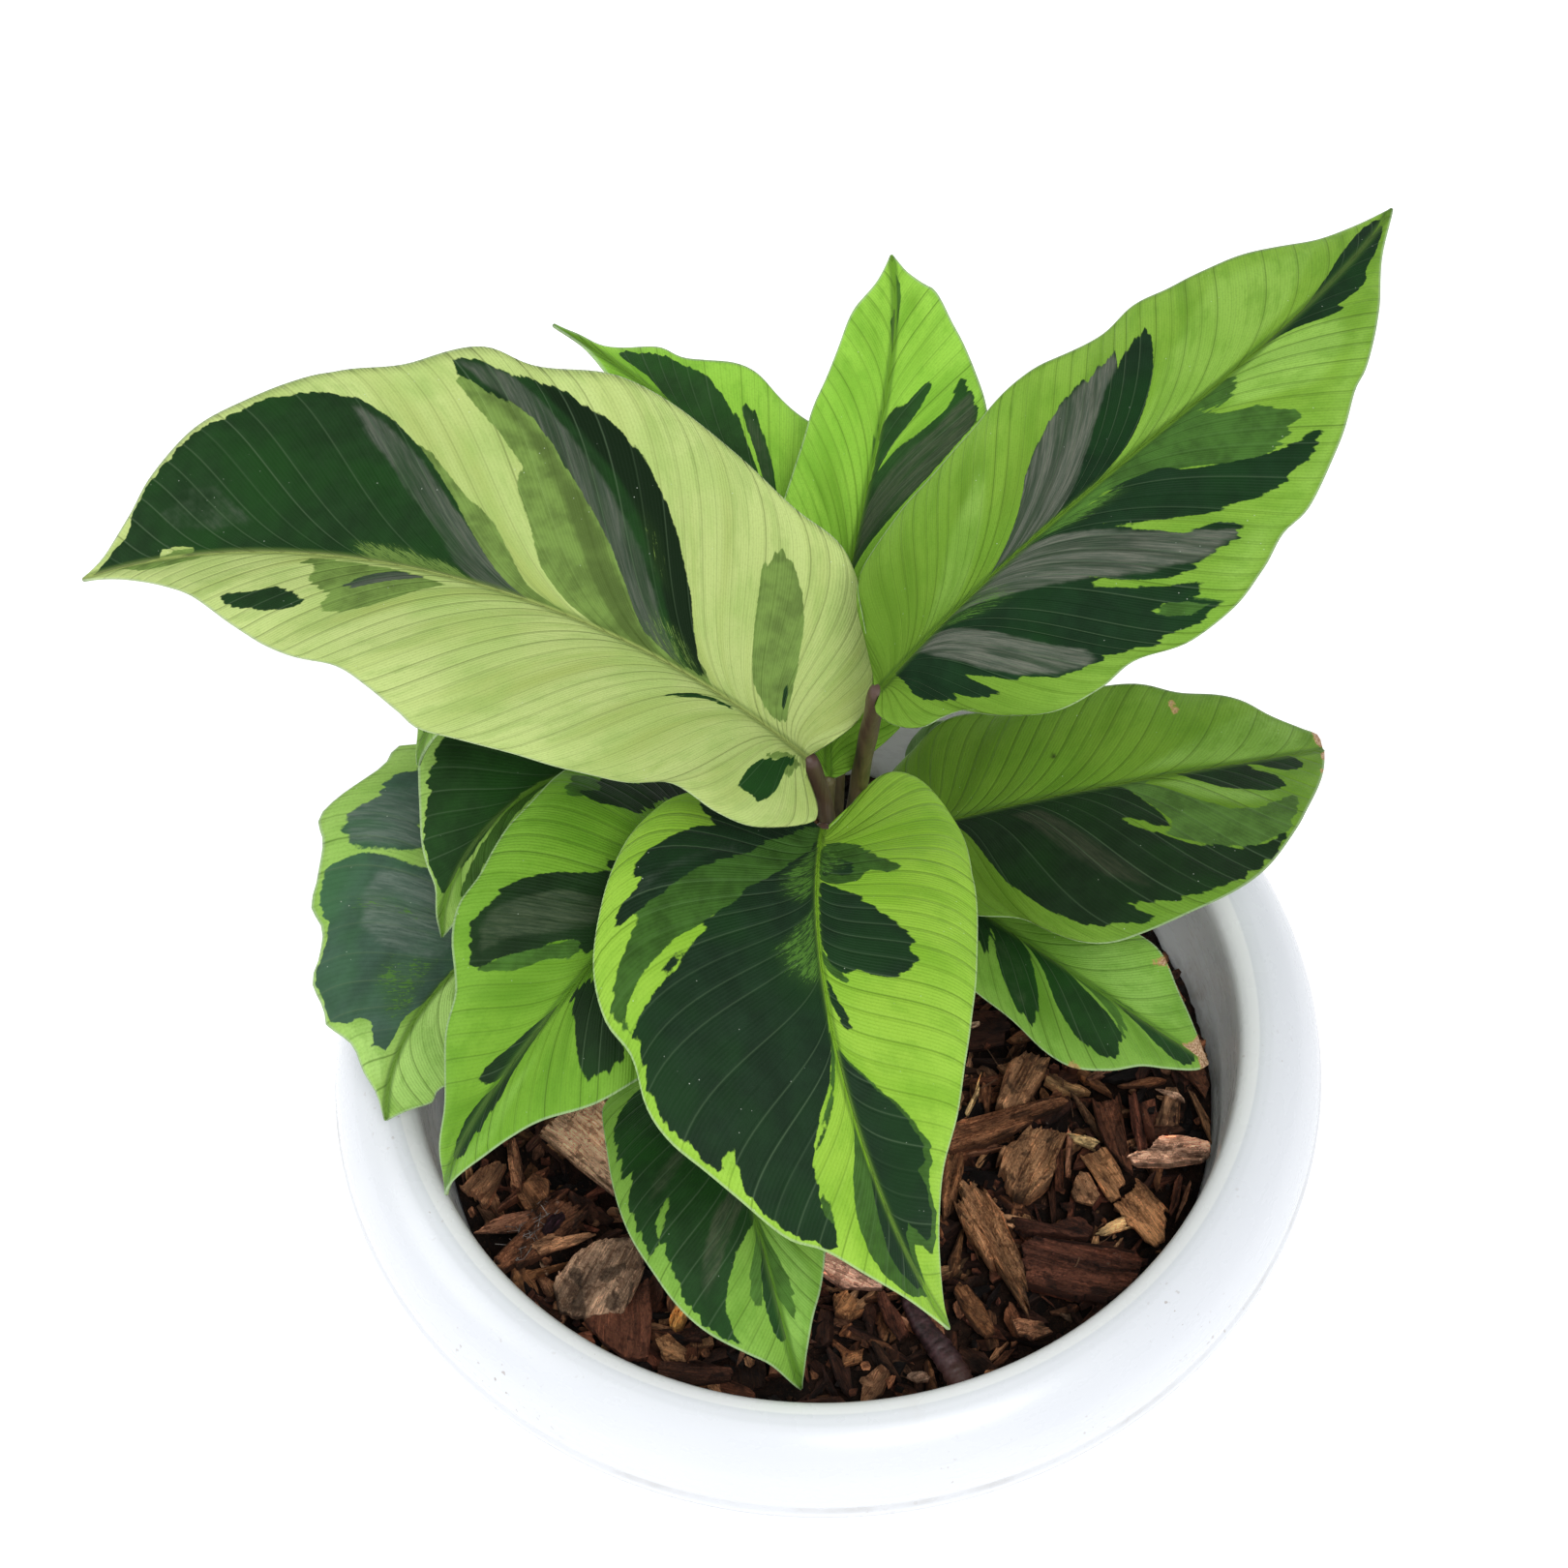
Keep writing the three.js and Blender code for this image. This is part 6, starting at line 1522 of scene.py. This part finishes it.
# Smaller pieces read off the plant that have no node of their own, told in the same way
LOOSE_BARK = [
    ("umber", 62, 5.2, 2.6, 6, 6, dict(rough=0.9, layers=4, spots=0.6), [
        (30.5, -8.6), (32, -4), (33.4, 0), (37.5, 4), (41.4, 1.4), (40, -2), (38, -5),
        (36, -9), (33, -10)]),
    ("umber", -65, 4.9, 1.2, 3, 3, dict(rough=0.4, layers=1), [
        (42.9, -26.5), (44, -24), (45, -22.4), (46.4, -23), (48.2, -27.4), (46.8, -29.2),
        (43.5, -28)]),
    ("red", 82, 6.2, 1.3, 0, 6, dict(rough=0.2, layers=1, rim=0.8), [
        (40, -26.6), (40.6, -20), (41.2, -17.6), (42.2, -18.4), (41.9, -22), (41.5, -27.4)]),
    ("umber", 74, 6.0, 1.2, 4, 3, dict(rough=0.2, layers=1, rim=0.5), [
        (42.1, -24), (42.5, -19), (43.2, -14.8), (44.4, -15.4), (43.7, -20), (43, -24.2)]),
    ("straw", -14, 6.4, 0.9, 5, 8, dict(rough=0.8, layers=1, spots=0.0), [
        (43, -15.4), (46, -16), (48.8, -17.2), (47.4, -18.6), (44.6, -17.3)]),
    ("straw", 25, 5.6, 1.0, 12, 10, dict(rough=1.6, layers=2, spots=0.0), [
        (46.8, -35.8), (48.2, -34.2), (50.6, -32.9), (52.4, -32), (52.7, -34.6), (50, -35),
        (48, -36.6)]),
    ("straw", 60, 5.2, 0.9, 10, -8, dict(rough=0.5, layers=1, spots=0.0), [
        (24.8, -8.6), (26.5, -6), (28.1, -1.8), (27.7, -5.4), (25.4, -9.6)]),
    ("red", -60, 5.4, 1.0, 8, 4, dict(rough=0.5, layers=2), [
        (63, -1.4), (66.5, -1.8), (69.6, -2.6), (70.4, -6), (69.3, -8.4), (67.3, -5)]),
    ("umber", -72, 5.6, 1.2, 3, 8, dict(rough=0.3, layers=1), [
        (66, -7), (67.2, -8), (69.4, -13), (69.6, -18.2), (68, -13.6)]),
    ("brown", 75, 4.6, 2.2, 6, 4, dict(rough=0.6, layers=3), [
        (20.4, -17.6), (23.8, -17), (23.4, -22), (21.8, -28), (19.4, -31), (19.2, -24)]),
    ("red", -84, 5.4, 1.6, 6, 2, dict(rough=0.5, layers=2), [
        (55.2, -8), (56.6, -7.2), (57.4, -12), (57.8, -18.8), (56, -19.4), (55.2, -14)]),
    ("dark", -20, 4.4, 1.4, -8, 3, dict(rough=0.8, layers=3), [
        (31, -30.6), (34, -31), (38, -32.6), (43.6, -31.6), (47, -33.6), (45, -35.6),
        (38, -35), (33.4, -34.6)]),
    ("umber", 15, 4.8, 1.4, 6, 4, dict(rough=0.8, layers=2, spots=0.8), [
        (30, -51.4), (33, -51.8), (36, -52.2), (37.4, -54.4), (34, -55.6), (31, -54.4)]),
    ("tan", -70, 5.0, 1.2, 4, 6, dict(rough=0.6, layers=1), [
        (35, -35.6), (36.6, -35.4), (37, -38), (35.8, -40.6), (34.8, -38)]),
    ("umber", -82, 5.4, 1.3, 12, -4, dict(rough=0.3, layers=1, curl=0.6), [
        (-60, -9.4), (-58.2, -8.8), (-57, -14), (-57.4, -19.8), (-59, -18.6), (-58.6, -14)]),
    ("umber", 16, 5.8, 1.5, 14, 2, dict(rough=0.5, layers=3, curl=0.7, spots=0.2), [
        (-65.8, -28.6), (-62, -26.2), (-57, -25), (-53, -24.4), (-53, -27.4), (-58, -28.8)]),
    ("tan", 12, 7.2, 1.0, 10, 4, dict(rough=0.5, layers=1, curl=0.5, spots=0.0), [
        (-55.6, -32.6), (-52, -30.8), (-48, -31.4), (-45, -30.2), (-43.5, -30.6), (-48, -33),
        (-53.6, -34.6)]),
    ("red", 88, 4.6, 1.6, 4, 3, dict(rough=0.3, layers=2, spots=0.3), [
        (-46.5, -46), (-40, -42), (-34, -38), (-34, -48), (-35, -55), (-38.4, -54.8),
        (-43, -51)]),
    ("plum", 42, 7.6, 2.2, 0, 0, dict(rough=0.3, layers=1, curl=-0.9, spots=0.0), [
        (-53.4, -29.6), (-52, -27.6), (-49.8, -26), (-49, -27.2), (-50.4, -29), (-52.4, -30.6)]),
    ("brown", -60, 4.2, 1.6, 8, 4, dict(rough=0.6, layers=2), [
        (-58, -20.4), (-55, -16), (-52, -18), (-52.6, -23), (-56.4, -23.6)]),
    ("umber", -30, 4.8, 1.6, 10, 6, dict(rough=1.0, layers=2, spots=0.8), [
        (-33.6, -51.6), (-31, -51), (-28, -53.6), (-28.6, -56), (-32, -55.6)]),
    ("red", -78, 4.8, 1.6, 4, 5, dict(rough=0.6, layers=2), [
        (6.4, -45.6), (8, -45), (10.4, -49.4), (11.8, -53), (10, -54.4), (7.4, -50)]),
    ("sand", 20, 4.8, 1.2, 8, 5, dict(rough=0.9, layers=2), [
        (-0.6, -56.4), (3.4, -55.6), (3, -58), (0, -59)]),
    ("dark", -8, 4.6, 1.8, 4, 3, dict(rough=0.6, layers=3), [
        (-33, -56), (-26, -57), (-20, -58.4), (-20.4, -60), (-28, -60.6), (-33.4, -58.6)]),
]


def placed_bark(tone, heading, lift, thick, tip_x, tip_y, shape, outline, grid=(56, 34)):
    """A piece whose outline on the bed is given in the plant's own x and y."""
    outline = np.asarray(outline, float)
    centre = (outline.min(0) + outline.max(0)) / 2
    turn = math.radians(heading)
    c, s = math.cos(turn), math.sin(turn)
    local = (outline - centre) @ np.array([[c, -s], [s, c]])
    verts, faces, uv, tones = bark_piece(local, thick, *grid, tone, **shape)
    verts = turned(verts, heading, tip_x, tip_y) + (*centre, SOIL_TOP + lift)
    return verts, faces, uv, tones


# Weathered, pale pieces
PALE_BARK = ("bark_left_tan", "bark_left_shredded", "bark_front_left_mottled",
             "bark_front_strip", "bark_front_bit", "bark_right_stick", "bark_right_cracked_a",
             "bark_right_cracked_b", "bark_back_bit", "bark_back_left")

for chip_name, (tone, *placing) in HERO_BARK.items():
    slot_name = "pale_bark" if chip_name in PALE_BARK else "bark"
    bark_object(chip_name + "_chip", [placed_bark(tone, *placing)], chip_name, slot=slot_name)

for chip_name, (cx, cy, heading, length, width, thick, tone) in BACK_BARK.items():
    verts, faces, uv, tones = bark_piece(torn_outline(length, width), thick, 48, 28, tone)
    verts = turned(verts, heading, 5, 4) + (cx, cy, SOIL_TOP + BACK_LIFT)
    slot_name = "pale_bark" if chip_name in PALE_BARK else "bark"
    bark_object(chip_name + "_chip", [(verts, faces, uv, tones)], chip_name, slot=slot_name)

bark_object("mulch_loose", [placed_bark(*piece, grid=(40, 22)) for piece in LOOSE_BARK])

TONES = ("black", "dark", "red", "brown", "umber", "tan", "pink")
WALL_RADIUS = 71.4


def scatter(count, lengths, slimness, thickness, grid, shares, lift, tilt, layers):
    """Random pieces over the bed. A long one near the wall lies along it."""
    parts = []
    names = rng.choice(TONES, count, p=np.array(shares) / sum(shares))
    for name in names:
        length = rng.uniform(*lengths)
        width = length * rng.uniform(*slimness)
        thick = width * rng.uniform(*thickness) + 0.2
        reach = math.sqrt(WALL_RADIUS**2 - length**2 / 4) - width / 2 - 0.5
        radius, turn = reach * math.sqrt(rng.uniform(0, 1)), rng.uniform(0, 2 * math.pi)
        heading = rng.uniform(0, 360)
        if radius > WALL_RADIUS - length / 2:
            heading = math.degrees(turn) + 90 + rng.uniform(-8, 8)
        cx, cy = radius * math.cos(turn), radius * math.sin(turn)
        verts, faces, uv, tones = bark_piece(
            torn_outline(length, width), thick, *grid, str(name), rough=rng.uniform(0.5, 1.6),
            curl=rng.uniform(-0.8, 0.8), layers=layers)
        verts = turned(verts, heading, rng.normal(0, tilt), rng.normal(0, tilt * 0.6))
        rise = rng.uniform(*lift)
        verts += (cx, cy, SOIL_TOP + float(bed_height(cx, cy)) + rise)
        # Pieces lying lower are painted darker: painted shade under the pieces above, and damp
        parts.append((verts, faces, uv, tones * np.clip(0.16 + 0.30 * rise, 0.12, 1.1)))
    return parts


bark_object("mulch_slabs", scatter(70, (10, 20), (0.25, 0.5), (0.18, 0.34), (20, 11),
                                   (3, 6, 7, 6, 4, 0.6, 0.1), (-0.4, 1.8), 12, 3))
bark_object("mulch_chips", scatter(420, (5, 11), (0.22, 0.55), (0.16, 0.34), (9, 7),
                                   (4, 6, 7, 6, 5, 1.2, 0.3), (-0.2, 2.8), 22, 2))
bark_object("mulch_flakes", scatter(620, (2.4, 5.5), (0.35, 0.8), (0.08, 0.2), (6, 5),
                                    (5, 7, 7, 6, 5, 1.4, 0.4), (0.0, 3.2), 30, 1))
bark_object("mulch_splinters", scatter(560, (5, 15), (0.08, 0.18), (0.5, 0.8), (10, 4),
                                       (4, 6, 7, 6, 5, 1.4, 0.4), (0.2, 3.6), 15, 1))
bark_object("mulch_crumbs", scatter(1100, (0.9, 2.4), (0.5, 0.95), (0.4, 0.7), (4, 4),
                                    (6, 7, 6, 5, 4, 1.2, 0.4), (0.0, 3.2), 40, 1))


def fibres(count, centre, spread, lengths, thick, tone, lift):
    """Thin root hairs and strands."""
    points, sides = 9, 6
    end = (points - 1) * sides
    parts = []
    for _ in range(count):
        length = rng.uniform(*lengths)
        radius, turn = spread * math.sqrt(rng.uniform(0, 1)), rng.uniform(0, 2 * math.pi)
        cx, cy = centre[0] + radius * math.cos(turn), centre[1] + radius * math.sin(turn)
        run = np.linspace(-0.5, 0.5, points)
        path = length * np.stack([run, rng.normal(0, 0.10) * np.cos(run * 5),
                                  0.05 * np.sin(run * 5 + rng.uniform(0, 3))], 1)
        verts, faces, uv = tube(path, rng.uniform(*thick) * np.linspace(1, 0.5, points), sides)
        quads = np.array([f for f in faces if len(f) == 4])
        caps = [np.array([[0, k, k + 1, k + 2] for k in (3, 1)]),
                np.array([[end, end + k + 2, end + k + 1, end + k] for k in (1, 3)])]
        verts = turned(verts, rng.uniform(0, 360), 0, rng.normal(0, 9))
        verts += (cx, cy, SOIL_TOP + float(bed_height(cx, cy)) + rng.uniform(*lift))
        tones = np.repeat(np.array([tone]) * rng.uniform(0.7, 1.3), len(verts), 0)
        parts.append((verts, np.concatenate([quads, *caps]), uv * (length * UV_PER_MM, 0.4), tones))
    return parts


root_hairs = fibres(80, (0, 0), 62, (4, 13), (0.08, 0.2), (0.26, 0.14, 0.08), (2.4, 4.2))
white_mould = fibres(26, (-57, -31), 3.2, (2, 5), (0.05, 0.12), (0.62, 0.57, 0.55), (6.8, 7.6))
white_mould += fibres(20, (-52.6, -25.4), 2.2, (1.5, 4), (0.05, 0.12), (0.62, 0.57, 0.55),
                      (6.8, 7.6))
bark_object("mulch_fibres", root_hairs + white_mould)

# Seed husk
husk_outline = [(-31.0, -48.4), (-30.3, -46), (-29.2, -44.6), (-27.9, -45), (-27.8, -47),
                (-28.6, -49), (-30, -49.8)]
husk = placed_bark("husk", 68, 5.0, 2.4, 0, 0,
                   dict(rough=0.05, layers=1, curl=-1.6, spots=-2.0), husk_outline, (24, 16))
bark_object("seed_husk_shell", [husk], "seed_husk", slot="husk")

# Dead purple stem lying at the front
dead_points = 60
dead_path = even_points(
    smooth_outline([(12, -45, 56.6), (14, -51, 57.6), (18, -58, 57.8), (21, -64, 57.2)],
                   dead_points), dead_points)
dead_radii = np.interp(np.linspace(0, 1, dead_points), (0, 0.3, 0.7, 0.94, 1),
                       (1.5, 1.9, 2.4, 2.3, 1.3))
dead_radii = dead_radii * (1 + 0.05 * rng.normal(0, 1, dead_points))
verts, faces, grain = tube(dead_path, dead_radii, 24)
dead = make_mesh("dead_stem_piece", verts, faces)
set_uv(dead.data, "Grain", grain)
finish_piece(dead, stalk_material("dead_purple", (0.016, 0.007, 0.008), (0.060, 0.024, 0.028),
                                  (0.10, 0.04, 0.03)), "dead_stem", "dead_stem")


# Floor, light and world

FLOOR_REACH = 6000.0
LIGHT_TARGET = (0, 0, 0.08)


def floor_piece():
    size = FLOOR_REACH
    floor = make_mesh("floor", [(-size, -size, 0), (size, -size, 0), (size, size, 0),
                                (-size, size, 0)], [(0, 1, 2, 3)])
    n = Nodes("floor_white")
    n.bsdf.inputs["Base Color"].default_value = (0.93, 0.93, 0.93, 1)
    n.bsdf.inputs["Roughness"].default_value = 0.9
    n.bsdf.inputs["Emission Color"].default_value = (1, 1, 1, 1)
    n.bsdf.inputs["Emission Strength"].default_value = 0.40
    floor.data.materials.append(n.material)


floor_piece()

world = bpy.data.worlds.new("studio")
world.use_nodes = True
background = world.node_tree.nodes["Background"]
background.inputs["Color"].default_value = (0.97, 0.985, 1.0, 1)
background.inputs["Strength"].default_value = 0.60
bpy.context.scene.world = world


def area_light(name, place, size, power):
    data = bpy.data.lights.new(name, "AREA")
    data.shape = "DISK"
    data.size = size
    data.energy = power
    light = bpy.data.objects.new(name, data)
    light.location = place
    aim = Vector(LIGHT_TARGET) - Vector(place)
    light.rotation_euler = aim.to_track_quat("-Z", "Y").to_euler()
    bpy.context.scene.collection.objects.link(light)


area_light("key", (0.26, -0.74, 1.35), 0.6, 10.8)
area_light("left fill", (-1.00, 0.00, 0.95), 0.8, 4.4)
